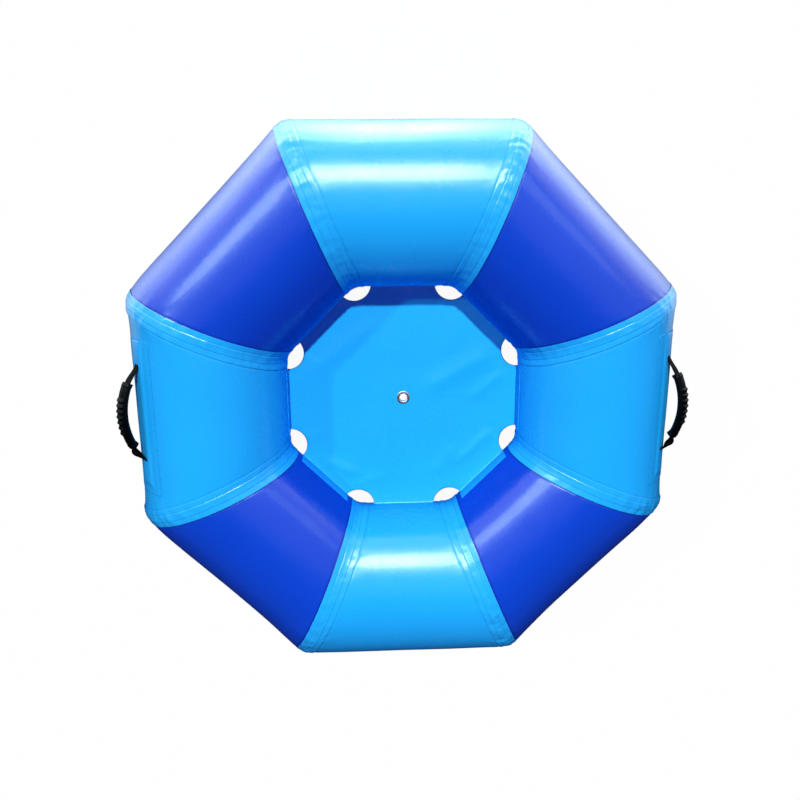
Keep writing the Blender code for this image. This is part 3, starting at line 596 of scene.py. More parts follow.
def layTape(seam, name):
    outward, across = panelDirections(seam + 0.5)

    def place(column, row):
        angle = 2 * pi * column / tape["sides"]
        distance = (row / tape["rows"] - 0.5) * tape["width"]
        side, panel = (-1, seam) if distance < 0 else (1, seam + 1)
        relief = tapeRelief(distance) * min(1.0, tape["flatBelow"] * (1 + sin(angle)))
        point = mitrePlace(seam, side, abs(distance), angle, gap + ring["tapeThickness"] + relief)
        along = point.dot(panelDirections(panel)[1])
        point += skinNormal(seam + 0.5, angle) * skinRelief(panel, along, angle)
        return point, (distance, angle * tubeRadius)

    piece = layGrid(name, tape["sides"], tape["rows"], place)
    mergeDoubles(piece)
    shadeWelds(piece, lambda point: tapeShade(point.dot(across)))
    middle = outward * (ringRadius / cos(sector / 2)) + Vector((0, 0, tubeHeight))
    faceOutward(piece, lambda point: point - middle)
    applyModifier(piece, "SOLIDIFY", thickness=tape["thickness"], offset=-1)
    return piece


for seam, panelName in enumerate(ring["panels"]):
    piece = layTape(seam, f"welded_tape_{seam + 1}")
    finishPiece(piece, tapeFabric, "ring", "cyan_fabric", f"seam_tape_{seam + 1}")
print("seam tapes made")

# Floor: an eight-sided sheet, its corners cut round for drainage, its edges turned up and welded
floor = {
    "drop": 0.028, "thickness": 0.001, "flapRise": 0.015, "drainRadius": 0.037, "bore": 0.0100,
    "edgeSteps": 20, "cornerSteps": 12, "rings": 44, "crowding": 0.9, "foldEasing": 0.0030,
    "foldSegments": 4, "flapRows": 14, "pressedFromRow": 2, "gatheredFromRow": 4,
    # the flaps' weld tracks and the drain holes' cut edges take painted shade; its strengths are the last value
    # on each of these two lines
    "weldLines": (0.0045, 0.0105), "weldDepth": 0.00035, "weldWidth": 0.0011, "paintedWeldShade": 0.25,
    "rimRow": 0.0036, "rimShade": 0.9, "onRim": 0.0002, "onFlap": 0.004, "onFloor": 0.0001,
    "wrinkle": 0.0016, "wrinklePitch": 0.110, "wrinklePlace": 0.7,
    "flatRadius": 0.028, "calmWidth": 0.05, "calmAtFold": 0.02,
    "crease": 0.0008, "creasePitch": 0.026, "creaseTurn": 0.26, "creaseLength": 0.11, "creasePlace": 4.1,
    "creaseAnywhere": 0.25, "drainPull": 0.045,
    "folds": (          # from, to, half width, height: slack that was never pulled out of the sheet
        ((0.035, 0.010), (0.205, 0.105), 0.022, 0.0034),
        ((0.150, -0.010), (0.235, 0.060), 0.013, 0.0020),
        ((0.120, -0.165), (0.205, -0.085), 0.012, 0.0034),
        ((0.065, -0.190), (0.125, -0.120), 0.016, 0.0022),
        ((-0.185, -0.150), (-0.105, -0.185), 0.012, 0.0030),
        ((-0.120, -0.215), (-0.045, -0.190), 0.014, 0.0018),
        ((-0.215, 0.060), (-0.060, 0.175), 0.020, 0.0014),
    ),
    "foldCore": 0.25, "foldFade": 0.22,
}
floorTop = tubeHeight - floor["drop"]
flapTop = tubeHeight + floor["flapRise"]
flapOffset = gap + floor["thickness"]


def innerFaceReach(height, offset):
    return ringRadius - sqrt((tubeRadius + offset) ** 2 - (height - tubeHeight) ** 2)


foldReach = innerFaceReach(floorTop, flapOffset)
cornerReach = foldReach / cos(sector / 2)
flapHalf = foldReach * tan(sector / 2) - floor["drainRadius"]


def floorOutline():
    # once round the sheet: half an arc, a straight edge and half an arc for each panel
    points = []
    steps, sweep = floor["cornerSteps"], (pi - sector) / 2
    for panel in range(panelCount):
        outward, along = panelDirections(panel)

        def addArc(side, start):
            corner = panelDirections(panel + side / 2)[0] * cornerReach
            for step in range(steps):
                angle = panel * sector + start - sweep * step / steps
                points.append(corner + Vector((cos(angle), sin(angle), 0)) * floor["drainRadius"])

        addArc(-1, pi - sector / 2)
        for step in range(floor["edgeSteps"]):
            share = 2 * step / floor["edgeSteps"] - 1
            points.append(outward * foldReach + along * share * flapHalf)
        addArc(1, 1.5 * pi)
    return points


def layFloor():
    outline = floorOutline()

    def platePlace(column, row):
        edge = outline[column % len(outline)]
        start = edge.normalized() * floor["bore"]
        rim = start.lerp(edge, 1 - floor["rimRow"] / (edge - start).length)
        share = (row / (floor["rings"] - 1)) ** floor["crowding"]
        point = edge if row == floor["rings"] else start.lerp(rim, share)
        return Vector((point.x, point.y, floorTop)), (point.x, point.y)

    plate = layGrid("floor_panel", len(outline), floor["rings"], platePlace)
    for panel in range(panelCount):
        outward, along = panelDirections(panel)

        def flapPlace(column, row):
            aside = (2 * column / floor["edgeSteps"] - 1) * flapHalf
            height = floorTop + (flapTop - floorTop) * row / floor["flapRows"]
            pressed = floor["weldDepth"] * sum(bell(flapTop - height - line, floor["weldWidth"])
                                               for line in floor["weldLines"])
            angle = pi - asin((height - tubeHeight) / tubeRadius)
            lift = skinRelief(panel, aside, angle) * min(1, row / floor["gatheredFromRow"])
            pressed *= min(1, row / floor["pressedFromRow"])
            reach = innerFaceReach(height, flapOffset + lift - pressed)
            return outward * reach + along * aside + Vector((0, 0, height)), (aside, height)

        flap = layGrid("flap", floor["edgeSteps"], floor["flapRows"], flapPlace)
        selectOnly(plate)
        flap.select_set(True)
        bpy.ops.object.join()
    mergeDoubles(plate)
    return plate


def easeFold(piece):
    # bevels the fold lines, found by their height and their reach along each panel's direction
    with editing(piece, "DESELECT"):
        bpy.ops.mesh.select_mode(type="VERT")
    vertices = piece.data.vertices
    for edge in piece.data.edges:
        ends = [vertices[number].co for number in edge.vertices]
        middle = (ends[0] + ends[1]) / 2
        outward = panelDirections(round(atan2(middle.y, middle.x) / sector))[0]
        edge.select = all(abs(end.z - floorTop) < sameSpot and abs(end.dot(outward) - foldReach) < sameSpot
                          for end in ends)
    bpy.ops.object.mode_set(mode="EDIT")
    bpy.ops.mesh.select_mode(type="EDGE")
    bpy.ops.mesh.bevel(offset=floor["foldEasing"], segments=floor["foldSegments"], clamp_overlap=True)
    bpy.ops.object.mode_set(mode="OBJECT")


def foldHeight(point):
    total = 0
    for start, end, halfWidth, height in floor["folds"]:
        start, end = Vector(start), Vector(end)
        run = end - start
        share = (point - start).dot(run) / run.length_squared
        aside = (point - start - run * share).length
        beyond = max(0.0, abs(share - 0.5) - floor["foldCore"])
        total += height * bell(beyond, floor["foldFade"]) * bell(aside, halfWidth)
    return total


def fromDrain(point):
    # how far a place on the sheet is from the edge of the nearest drain hole
    corner = panelDirections(round(atan2(point.y, point.x) / sector - 0.5) + 0.5)[0] * cornerReach
    return (point.to_2d() - corner.to_2d()).length - floor["drainRadius"]


def wrinkleFloor(piece):
    for vertex in piece.data.vertices:
        point = vertex.co
        if point.z > floorTop + floor["onFloor"]:
            continue
        radius, turn = sqrt(point.x ** 2 + point.y ** 2), atan2(point.y, point.x)
        fromFold = foldReach - point.dot(panelDirections(round(turn / sector))[0])
        calm = clamp((radius - floor["flatRadius"]) / floor["calmWidth"])
        calm *= clamp(fromFold / floor["calmAtFold"])
        slow = noise.noise(Vector((point.x, point.y, floor["wrinklePlace"])) / floor["wrinklePitch"])
        creases = noise.noise(Vector((turn * floor["creaseTurn"] / floor["creasePitch"],
                                      radius / floor["creaseLength"], floor["creasePlace"])))
        creases *= floor["crease"] * (floor["creaseAnywhere"] + bell(fromDrain(point), floor["drainPull"]))
        vertex.co.z += calm * (floor["wrinkle"] * slow + creases + foldHeight(point.to_2d()))


def floorShade(point):
    # painted shade: dark on the cut edge of a drain hole, and faintly along the flaps' weld tracks, where shade
    # falls
    if point.z > floorTop + floor["onFlap"]:
        return floor["paintedWeldShade"] * max(bell(flapTop - point.z - line, floor["weldWidth"])
                                        for line in floor["weldLines"])
    return floor["rimShade"] if abs(fromDrain(point)) < floor["onRim"] else 0.0


piece = layFloor()
easeFold(piece)
faceOutward(piece, lambda point: Vector((-point.x, -point.y, foldReach)))       # up, and in on the flaps
shadeWelds(piece, floorShade)
wrinkleFloor(piece)
applyModifier(piece, "SOLIDIFY", thickness=floor["thickness"], offset=-1, use_even_offset=True)
finishPiece(piece, cyanFabric, "ring", "cyan_fabric", "floor_sheet")
piece.visible_glossy = False        # the photograph's blue panels don't mirror it
print("floor made")

# Eyelet: a rolled flange above, a barrel through the sheet, a washer and the peened lip below
eyelet = {
    "bore": 0.0085, "flange": 0.0150, "wall": 0.0012, "lip": 0.0024, "turns": 96, "easing": 0.0002,
    "crown": 0.0022, "mouth": 0.0015, "mouthDrop": 0.0004, "washerInset": 0.0006,
    "edgeRise": 0.55, "crownRise": 1.15, "mouthRise": 1.05,     # shares of the wall
}


def makeEyelet():
    bore, flange, wall = eyelet["bore"], eyelet["flange"], eyelet["wall"]
    barrel, top = bore + wall, floorTop + gap
    under = floorTop - floor["thickness"] - gap
    lip, lipTop = barrel + eyelet["lip"], under - wall - gap
    edge, crown, mouth = (top + wall * eyelet[name] for name in ("edgeRise", "crownRise", "mouthRise"))
    piece = turnPiece("eyelet_ring", eyelet["turns"], eyelet["easing"], [
        (bore, lipTop - wall, 0.0008), (lip, lipTop - wall, 0.0007), (lip, lipTop), (barrel, lipTop, 0.0002),
        (barrel, top, 0.0002), (flange, top), (flange, edge, 0.0005),
        (flange - eyelet["crown"], crown, 0.0016), (bore + eyelet["mouth"], mouth, 0.0014),
        (bore, top - eyelet["mouthDrop"], 0.0010),
    ])
    finishPiece(piece, brightNickel, "ring", "nickel", "eyelet")
    washer = turnPiece("eyelet_back_ring", eyelet["turns"], eyelet["easing"], [
        (barrel + gap, under - wall), (flange - eyelet["washerInset"], under - wall, 0.0005),
        (flange, under), (barrel + gap, under),
    ])
    finishPiece(washer, brightNickel, "ring", "nickel", "eyelet_washer")


makeEyelet()
print("eyelet made")

# Carry handles: a welded patch, one strap of webbing with both ends under it, and a ribbed grip
handle = {
    "angle": radians(37.5), "offset": 0.010, "axisLift": 0.004,
    "patchLength": 0.334, "patchWidth": 0.104, "patchThickness": 0.0009, "patchCorner": 0.008,
    "patchWall": 0.0006, "patchColumns": 176, "patchRows": 72, "margin": 0.0025, "ramp": 0.0150,
    "weldInset": 0.006, "weldDepth": 0.00030, "weldWidth": 0.0011, "feather": 0.00035,
    # the border's painted shade runs along the patch's edge
    "featherWidth": 0.0015, "border": 0.0012, "borderShade": 0.30, "slitDepth": 0.03, "slitGap": 0.0008,
    "slit": (0.0985, 0.1062), "landing": 0.1052, "tailTaper": 0.008, "taperCurve": 0.8, "tailRoom": 0.0035,
    "webWidth": 0.025, "webThickness": 0.002, "neckWidth": 0.020, "neckFlare": 0.45, "webAcross": 12,
    "webWall": 0.0018, "webEasing": 0.0004, "webEdge": radians(50),
    "gripSteps": 14, "runSteps": 24, "taperSteps": 8, "tailSteps": 6,
    "landingSlope": {"front": 1.9, "rear": 0.42}, "twist": {"front": radians(34), "rear": 0.0},
    "turning": {"left": 0.0125, "right": 0.0098},       # the real strap turns with the grip from this depth up
    "turned": 0.0045,                                   # and has turned all the way at this height
}
patchLift = 2 * gap + handle["webThickness"]
patchTop = patchLift + handle["patchThickness"]
tailEnd = handle["patchLength"] / 2 - handle["offset"] - 2 * handle["margin"] - handle["tailRoom"]
grip = {
    "length": 0.138, "endHeight": 0.0095, "middleHeight": 0.026, "width": 0.032, "endWidth": 0.028,
    "thickness": 0.0185, "endEasing": 0.0022, "easingShare": 0.6, "lip": 0.0036, "lipFrom": 0.84,
    "lipGrowth": 0.15, "lipSpread": 4, "ribs": 7, "ribPitch": 0.0115, "ribHeight": 0.0032, "ribLean": 0.12,
    "ribCurve": 1.15, "ribEdges": (0.25, 0.75), "sides": 72, "rows": 230, "slotRows": 24,
    "collarFromEnd": 0.0065, "collar": 0.0008, "collarWidth": 0.0012, "mouldLine": 0.00022,
    "mouldLineTo": 0.04, "slotWidth": 0.0128, "slotHeight": 0.0013, "slotSquareness": 0.35,
    "wrapRadius": 0.012,        # the round that its surface is mapped on
}
gripRise = grip["middleHeight"] - grip["endHeight"]
gripRadius = ((grip["length"] / 2) ** 2 + gripRise ** 2) / (2 * gripRise)
gripHalfAngle = asin(grip["length"] / 2 / gripRadius)


def patchHeight(along, across):
    # the patch stands up over the webbing's tails, and lies on the tube round them
    beyond = max(abs(along) - tailEnd - handle["margin"],
                 abs(across) - handle["webWidth"] / 2 - handle["margin"], 0)
    return gap + (patchLift - gap) * (1 - softStep(beyond / handle["ramp"])) + handle["patchThickness"]


def roundedCorner(x, y, halfX, halfY, radius):
    # turns the square corner of a rectangle's grid into a round one
    a, b = (abs(x) - halfX + radius) / radius, (abs(y) - halfY + radius) / radius
    if a <= 0 or b <= 0:
        return x, y
    newX = halfX - radius + radius * a * sqrt(1 - b * b / 2)
    newY = halfY - radius + radius * b * sqrt(1 - a * a / 2)
    return copysign(newX, x), copysign(newY, y)


def makePatch(sideName, panel, handleAlong):
    halfX, halfY = handle["patchLength"] / 2, handle["patchWidth"] / 2
    outward, direction = panelDirections(panel)

    def place(column, row):
        x = (column / handle["patchColumns"] - 0.5) * handle["patchLength"]
        y = (row / handle["patchRows"] - 0.5) * handle["patchWidth"]
        fromEdge = min(halfX - abs(x), halfY - abs(y))
        pressed = handle["weldDepth"] * bell(fromEdge - handle["weldInset"], handle["weldWidth"])
        pressed += handle["feather"] * fade(fromEdge, handle["featherWidth"])
        x, y = roundedCorner(x, y, halfX, halfY, handle["patchCorner"])
        angle = handle["angle"] + y / tubeRadius
        lift = patchHeight(x - handleAlong, y) - pressed
        return panelPlace(panel, x, angle, lift + skinRelief(panel, x, angle)), (x, y)

    # painted shade along the patch's edge, where shade falls
    def borderShade(point):
        up = (sectionAngle(point.dot(outward), point.z) - handle["angle"]) * tubeRadius
        fromEdge = min(halfX - abs(point.dot(direction)), halfY - abs(up))
        return handle["borderShade"] * fade(fromEdge, handle["border"])

    piece = layGrid(f"{sideName}_patch_skin", handle["patchColumns"], handle["patchRows"], place)
    shadeWelds(piece, borderShade)
    frameHere = surfaceFrame(panel, handleAlong, handle["angle"], 0)
    faceOutward(piece, lambda point: frameHere.col[2].to_3d())
    applyModifier(piece, "SOLIDIFY", thickness=handle["patchWall"], offset=-1)
    slitStart, slitEnd = handle["slit"]
    for side in (-1, 1):
        middle = frameHere @ Matrix.Translation((side * (slitStart + slitEnd) / 2, 0, 0))
        combine(piece, addBlock(middle, slitEnd - slitStart, handle["neckWidth"] + handle["slitGap"],
                                handle["slitDepth"]), "DIFFERENCE")
    finishPiece(piece, cyanFabric, "ring", "cyan_fabric", f"{sideName}_handle_patch")


def strapStations(end):
    # half of the strap from the grip's middle: (place along, height or None on the panel, half width,
    # how far it follows the panel's own relief, twist)
    wide, narrow = handle["webWidth"] / 2, handle["neckWidth"] / 2
    start, landing, taper = grip["length"] / 2, handle["landing"], handle["tailTaper"]
    stations = []
    for step in range(handle["gripSteps"] + 1):
        turn = gripHalfAngle * step / handle["gripSteps"]
        height = grip["middleHeight"] - gripRadius + gripRadius * cos(turn)
        stations.append((gripRadius * sin(turn), height, wide, 0.0, 0.0))
    sunk = handle["axisLift"] + patchTop - gap - handle["webThickness"] / 2
    for step in range(1, handle["runSteps"] + 1):
        share = step / handle["runSteps"]
        rest = 1 - share
        slope = handle["landingSlope"][end] * share - tan(gripHalfAngle) * rest
        height = grip["endHeight"] * softStep(rest) - sunk * softStep(share)
        height += (landing - start) * share * rest * slope
        width = min(wide, narrow + handle["neckFlare"] * max(height, 0.0))
        twist = handle["twist"][end] * sin(pi * share) ** 2
        stations.append((start + (landing - start) * share, height, width, softStep(share), twist))
    for step in range(1, handle["taperSteps"] + 1):
        share = step / handle["taperSteps"]
        width = narrow + (wide - narrow) * share ** handle["taperCurve"]
        stations.append((landing + taper * share, None, width, 1.0, 0.0))
    for step in range(1, handle["tailSteps"] + 1):
        along = landing + taper + (tailEnd - landing - taper) * step / handle["tailSteps"]
        stations.append((along, None, wide, 1.0, 0.0))
    return stations


def makeStrap(sideName, panel, handleAlong, axisFrame):
    ends = ("rear", "front") if panelDirections(panel)[1].y < 0 else ("front", "rear")
    behind, ahead = strapStations(ends[0]), strapStations(ends[1])
    stations = [(-along, *others) for along, *others in reversed(behind[1:])] + ahead
    runs = [0.0]
    for before, after in zip(stations, stations[1:]):
        runs.append(runs[-1] + sqrt((after[0] - before[0]) ** 2 + ((after[1] or 0) - (before[1] or 0)) ** 2))

    def place(column, row):
        along, height, width, follow, twist = stations[column]
        across = 2 * row / handle["webAcross"] - 1
        y = across * width
        reach, angle = handleAlong + along, handle["angle"] + y / tubeRadius
        relief = skinRelief(panel, reach, angle)
        if height is None:
            point = panelPlace(panel, reach, angle, gap + handle["webThickness"] / 2 + relief)
        else:
            bent = tubeRadius * (1 - cos(y / tubeRadius))
            height += follow * (relief - bent) - y * sin(twist)
            point = axisFrame @ Vector((along, y * cos(twist), height))
        return point, (across * handle["webWidth"] / 2, runs[column])

    piece = layGrid(f"{sideName}_strap", len(stations) - 1, handle["webAcross"], place)
    outward, middle = axisFrame.col[2].to_3d(), axisFrame.translation
    faceOutward(piece, lambda point: outward)
    applyModifier(piece, "SOLIDIFY", thickness=handle["webWall"], offset=0)
    applyModifier(piece, "BEVEL", width=handle["webEasing"], segments=2, limit_method="ANGLE",
                  angle_limit=handle["webEdge"])
    finishPiece(piece, blackWebbing, None, "black_webbing", f"{sideName}_webbing",
                f"{sideName}_webbing_front_tail", f"{sideName}_webbing_rear_tail")
    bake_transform(piece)


def ribHeight(place):
    # saw teeth: each rises slowly to its tip and falls away short
    ribbed = grip["ribs"] * grip["ribPitch"] / 2
    if abs(place) >= ribbed:
        return 0.0
    share = ((place + ribbed) / grip["ribPitch"]) % 1 - 0.5
    lean = grip["ribLean"]
    rise = (share + 0.5) / (lean + 0.5) if share < lean else (0.5 - share) / (0.5 - lean)
    return grip["ribHeight"] * rise ** grip["ribCurve"]


def mouldingPlace(share, out, side):
    # the grip's outside, by its share of the half length and the direction round its section
    spot = share * gripHalfAngle * gripRadius
    fromEnd = gripHalfAngle * gripRadius - abs(spot)
    easing = grip["endEasing"] * fade(fromEnd, grip["endEasing"]) ** 2 * grip["easingShare"]
    grow = grip["collar"] * bell(fromEnd - grip["collarFromEnd"], grip["collarWidth"]) - easing
    lip = grip["lip"] * clamp((abs(share) - grip["lipFrom"]) / grip["lipGrowth"]) ** 2
    low, high = grip["ribEdges"]
    rise = (grip["thickness"] / 2 + grow) * out - lip * max(0.0, -out) ** grip["lipSpread"]
    rise += ribHeight(spot) * softStep((out - low) / (high - low))
    across = ((grip["width"] + (grip["endWidth"] - grip["width"]) * share ** 2) / 2 + grow) * side
    if abs(out) < grip["mouldLineTo"]:
        across += copysign(grip["mouldLine"], side)
    return rise, across


def makeGrip(sideName, axisFrame):
    rows, slotRows = grip["rows"], grip["slotRows"]

    def place(column, row):
        angle = 2 * pi * column / grip["sides"]
        out, side = cos(angle), sin(angle)
        inSlot = rows < row <= rows + slotRows + 1
        share = 1 - 2 * (row - rows - 1) / slotRows if row > rows else 2 * row / rows - 1
        share = max(-1.0, share)
        if inSlot:
            rise = grip["slotHeight"] * copysign(abs(out) ** grip["slotSquareness"], out)
            across = grip["slotWidth"] * copysign(abs(side) ** grip["slotSquareness"], side)
        else:
            rise, across = mouldingPlace(share, out, side)
        turn, reach = share * gripHalfAngle, gripRadius + rise
        point = Vector((reach * sin(turn), across, grip["middleHeight"] - gripRadius + reach * cos(turn)))
        return axisFrame @ point, (turn * gripRadius, angle * grip["wrapRadius"])

    piece = layGrid(f"{sideName}_grip_moulding", grip["sides"], rows + slotRows + 2, place)
    mergeDoubles(piece, sameFineSpot)
    middle = axisFrame @ Vector((0, 0, grip["middleHeight"]))
    faceOutward(piece, lambda point: point - middle)
    finishPiece(piece, blackRubber, f"{sideName}_handle", "black_rubber", f"{sideName}_grip")


for sideName in ("left", "right"):
    panel = ring["panels"].index(sideName)
    handleAlong = handle["offset"] * panelDirections(panel)[1].y
    axisFrame = surfaceFrame(panel, handleAlong, handle["angle"], patchTop)
    axisFrame = axisFrame @ Matrix.Translation((0, 0, handle["axisLift"]))
    makePatch(sideName, panel, handleAlong)
    makeStrap(sideName, panel, handleAlong, axisFrame)
    makeGrip(sideName, axisFrame)
print("handles made")

# Air valve: housing, leash ring and lid are turned again finely; its hidden insides stay as built
flangeTop = valve["gasketTop"] + gap + valve["flangeThickness"]
rimTop = flangeTop + valve["rimHeight"]
ledge = valve["ledge"] - valve["depth"]
leashLow = flangeTop + gap
skirtLow = leashLow + valve["leashThickness"] + gap
capInside = valve["rim"] + valve["capClearance"]
capOutside = capInside + valve["capWall"]


def seatOnTube(piece, body, node):
    bakePlace(piece, valveFrame)
    finishPiece(piece, blackNylon, body, "black_nylon", node)


def addTab(piece, height):
    # the leash's tab: a block with rounded edges, grown into the ring or the lid
    inside, reach = capInside + valve["capWall"] / 2, capOutside + valve["hingeReach"] - gap
    thickness = valve["leashThickness"]
    tab = addBlock(Matrix.Translation((0, -(inside + reach) / 2, height + thickness / 2)),
                   valve["leashWidth"], reach - inside, thickness)
    applyModifier(tab, "BEVEL", width=valve["tabEasing"], segments=3)
    combine(piece, tab, "UNION")


def makeHousing():
    barrel, bore, rim, flange, seat = (valve[name] for name in ("barrel", "bore", "rim", "flange", "seat"))
    foot, flangeLow = -valve["depth"], valve["gasketTop"] + gap
    groove, step = flange - valve["groove"], valve["grooveStep"]
    seatOnTube(turnPiece("valve_housing", valve["turns"], valve["easing"], [
        (seat, foot), (barrel, foot), (barrel, flangeLow, 0.0001), (flange, flangeLow, 0.0002),
        (flange, flangeTop, 0.0012), (groove, flangeTop, 0.0003),
        (groove - step, flangeTop - valve["grooveDepth"], 0.0003), (groove - 2 * step, flangeTop, 0.0003),
        (rim, flangeTop, 0.0003), (rim, rimTop, 0.0008), (bore, rimTop, 0.0008), (bore, ledge, 0.0003),
        (seat, ledge, 0.0004),
    ]), "ring", "valve_body")


def makeLeash():
    inside, top = valve["rim"] + gap, leashLow + valve["leashThickness"]
    piece = turnPiece("valve_leash", valve["turns"], valve["fineEasing"], [
        (inside, leashLow), (capOutside, leashLow), (capOutside, top), (inside, top)])
    addTab(piece, leashLow)
    seatOnTube(piece, "ring", "valve_leash_ring")


def makeLid():
    low, top = rimTop + gap, rimTop + gap + valve["capTop"]
    border, dish = capOutside - valve["capBorder"], top - valve["capDish"]
    piece = turnPiece("valve_lid_cap", valve["turns"], valve["fineEasing"], [
        (0, low), (capInside, low, 0.0004), (capInside, skirtLow, 0.0003), (capOutside, skirtLow, 0.0004),
        (capOutside, top, 0.0014), (border, top, 0.0010), (border - valve["capSlope"], dish, 0.0010),
        (0, dish),
    ])
    for vertex in piece.data.vertices:
        radius, turn = sqrt(vertex.co.x ** 2 + vertex.co.y ** 2), atan2(vertex.co.y, vertex.co.x)
        inBand = skirtLow + valve["notchesFrom"] < vertex.co.z < top - valve["notchesTo"]
        if radius > capOutside - valve["notchReach"] and inBand:
            shrink = 1 - valve["notchDepth"] * (1 + cos(turn * valve["gripNotches"])) / 2 / radius
            vertex.co.x *= shrink
            vertex.co.y *= shrink
    addTab(piece, skirtLow)
    seatOnTube(piece, "valve_lid", "valve_cap")


# The plunger's spring; the real one shortens as the plunger goes in
spring = {
    "radius": 0.0036, "wire": 0.0008, "turns": 4.5, "stepsPerTurn": 32, "sides": 12,
    "guide": 0.0015, "buttonRecess": 0.008, "button": 0.002, "travel": 0.0045,
}


def makeSpring():
    low = ledge + spring["guide"] + 2 * gap
    high = rimTop - spring["buttonRecess"] - spring["button"] - gap
    steps = round(spring["turns"] * spring["stepsPerTurn"])

    def place(column, row):
        share = clamp((column - 1) / steps)
        wire = 0 if column in (0, steps + 2) else spring["wire"] / 2
        turn, around = 2 * pi * spring["turns"] * share, 2 * pi * row / spring["sides"]
        height = low + spring["wire"] / 2 + (high - low - spring["wire"]) * share + wire * sin(around)
        reach = spring["radius"] + wire * cos(around)
        return Vector((reach * cos(turn), reach * sin(turn), height)), (turn * reach, around * wire)

    # a wire wound round the axis, closed flat at both ends
    piece = layGrid("valve_coil", steps + 2, spring["sides"], place)
    mergeDoubles(piece, sameFineSpot)
    faceOutward(piece, lambda point: point.xy.to_3d() * (1 - spring["radius"] / point.xy.length))
    bakePlace(piece, valveFrame)
    finishPiece(piece, springSteel, "ring", "spring_steel", "valve_spring")
    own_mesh(piece)


makeHousing()
makeLeash()
makeLid()
makeSpring()
keptFinishes = {
    "valve_nut": blackNylon, "valve_gasket": sealRubber, "valve_stem_guide": blackNylon,
    "valve_plunger": blackNylon, "valve_seal": sealRubber,
}
for nodeName, material in keptFinishes.items():
    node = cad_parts[nodeName]
    if not node.material_slots:
        node.data.materials.append(material)
    for materialSlot in node.material_slots:
        materialSlot.material = material
print("valve made")

# The studio: a pale floor, one bright window behind, a soft glow all round, and the photograph's camera
studio = {
    "floorSize": 40.0, "shadowShare": 0.05, "paleFloor": 1.0, "floorGrey": 0.9, "floorBounce": 0.06,
    # the glow values set the painted reflection that the floor gives glossy rays
    "glowNear": 0.59, "glowFar": 1.15, "glowAll": 7.0, "glowSharpness": 0.9,
    "glowMiddle": 7.5, "middleEdge": (0.06, 0.34), "darkFloor": 0.02,
    "outsideGlow": (0.84, 1.0, 1.0), "insideGlow": (0.0, 0.12, 0.86), "insideEdge": (0.42, 0.50),
    "sunSize": radians(2.5),
    "suns": {       # turn, height, strength
        "sun behind": (radians(90), radians(58), 3.05),
        "light from the left": (radians(153), radians(42), 0.70),
    },
    "windowHeight": radians(45.2), "windowDistance": 12.0,
    "windows": (        # centre in X, raised by, width, height, brightness, red: dimmer, cooler ones beside
        (0.45, 0.3, 2.4, 3.9, 20.0, 1.0),
        (0.45, 0.3, 4.2, 3.9, 18.0, 1.0),
        (-8.6, 1.3, 15.0, 4.4, 10.4, 0.74),
        (9.8, 1.1, 15.0, 3.5, 2.1, 0.74),
    ),
    "skyLight": (0.015, 0.045, 0.220), "zenithGloss": 0.60, "zenithEdge": (-0.30, 0.12), "frontGloss": 0.05,
    "horizonGloss": 2.3, "horizonTop": (0.12, 0.42), "horizonTurn": (0.10, 0.70),
}
cameraPlace = {
    "lens": 35.597, "sensor": 36.0, "clip": (0.05, 50.0), "location": (-0.0877, 0.4690, 1.8999),
    "rotation": (radians(-15.1055), radians(-2.7062), radians(-0.3566)),
}


def mixShaders(tree, factor, first, second):
    return addNode(tree, "MixShader", {0: factor, 1: first, 2: second}).outputs[0]


def smoothRange(tree, value, edges, first=0.0, last=1.0):
    return addNode(tree, "MapRange", {
        "Value": value, "From Min": edges[0], "From Max": edges[1], "To Min": first, "To Max": last,
    }, interpolation_type="SMOOTHSTEP").outputs["Result"]


def placeParts(tree, kind):
    place = addNode(tree, "TexCoord")
    return addNode(tree, "SeparateXYZ", {0: place.outputs[kind]}).outputs


def floorGlow(tree):
    # painted reflection: the studio floor glows for glossy rays only, bright behind the tube and dark in front
    # and beside it, and inside the ring a deep blue glow stands in for the floor sheet's reflection
    place = placeParts(tree, "Object")
    squares = [addMath(tree, "MULTIPLY", place[axis], place[axis]) for axis in ("X", "Y")]
    reach = addMath(tree, "SQRT", addMath(tree, "ADD", *squares))
    behind = addMath(tree, "MAXIMUM", addMath(tree, "DIVIDE", place["Y"], reach), 0.0)
    spread = addMath(tree, "POWER", behind, studio["glowSharpness"])
    spread = addMath(tree, "MULTIPLY", spread, studio["glowAll"])
    aside = addMath(tree, "ABSOLUTE", place["X"])
    middle = smoothRange(tree, aside, studio["middleEdge"], studio["glowMiddle"], 0.0)
    ahead = addMath(tree, "GREATER_THAN", place["Y"], 0.0)
    total = addMath(tree, "ADD", spread, addMath(tree, "MULTIPLY", middle, ahead))
    near = smoothRange(tree, reach, (studio["glowNear"], studio["glowFar"]))
    lit = addMath(tree, "ADD", addMath(tree, "MULTIPLY", total, near), studio["darkFloor"])
    outside = smoothRange(tree, reach, studio["insideEdge"])
    colour = mixColours(tree, outside, (*studio["insideGlow"], 1), (*studio["outsideGlow"], 1))
    strength = addMath(tree, "ADD", lit, addMath(tree, "SUBTRACT", 1.0, outside))
    return addNode(tree, "Emission", {"Strength": strength, "Color": colour})


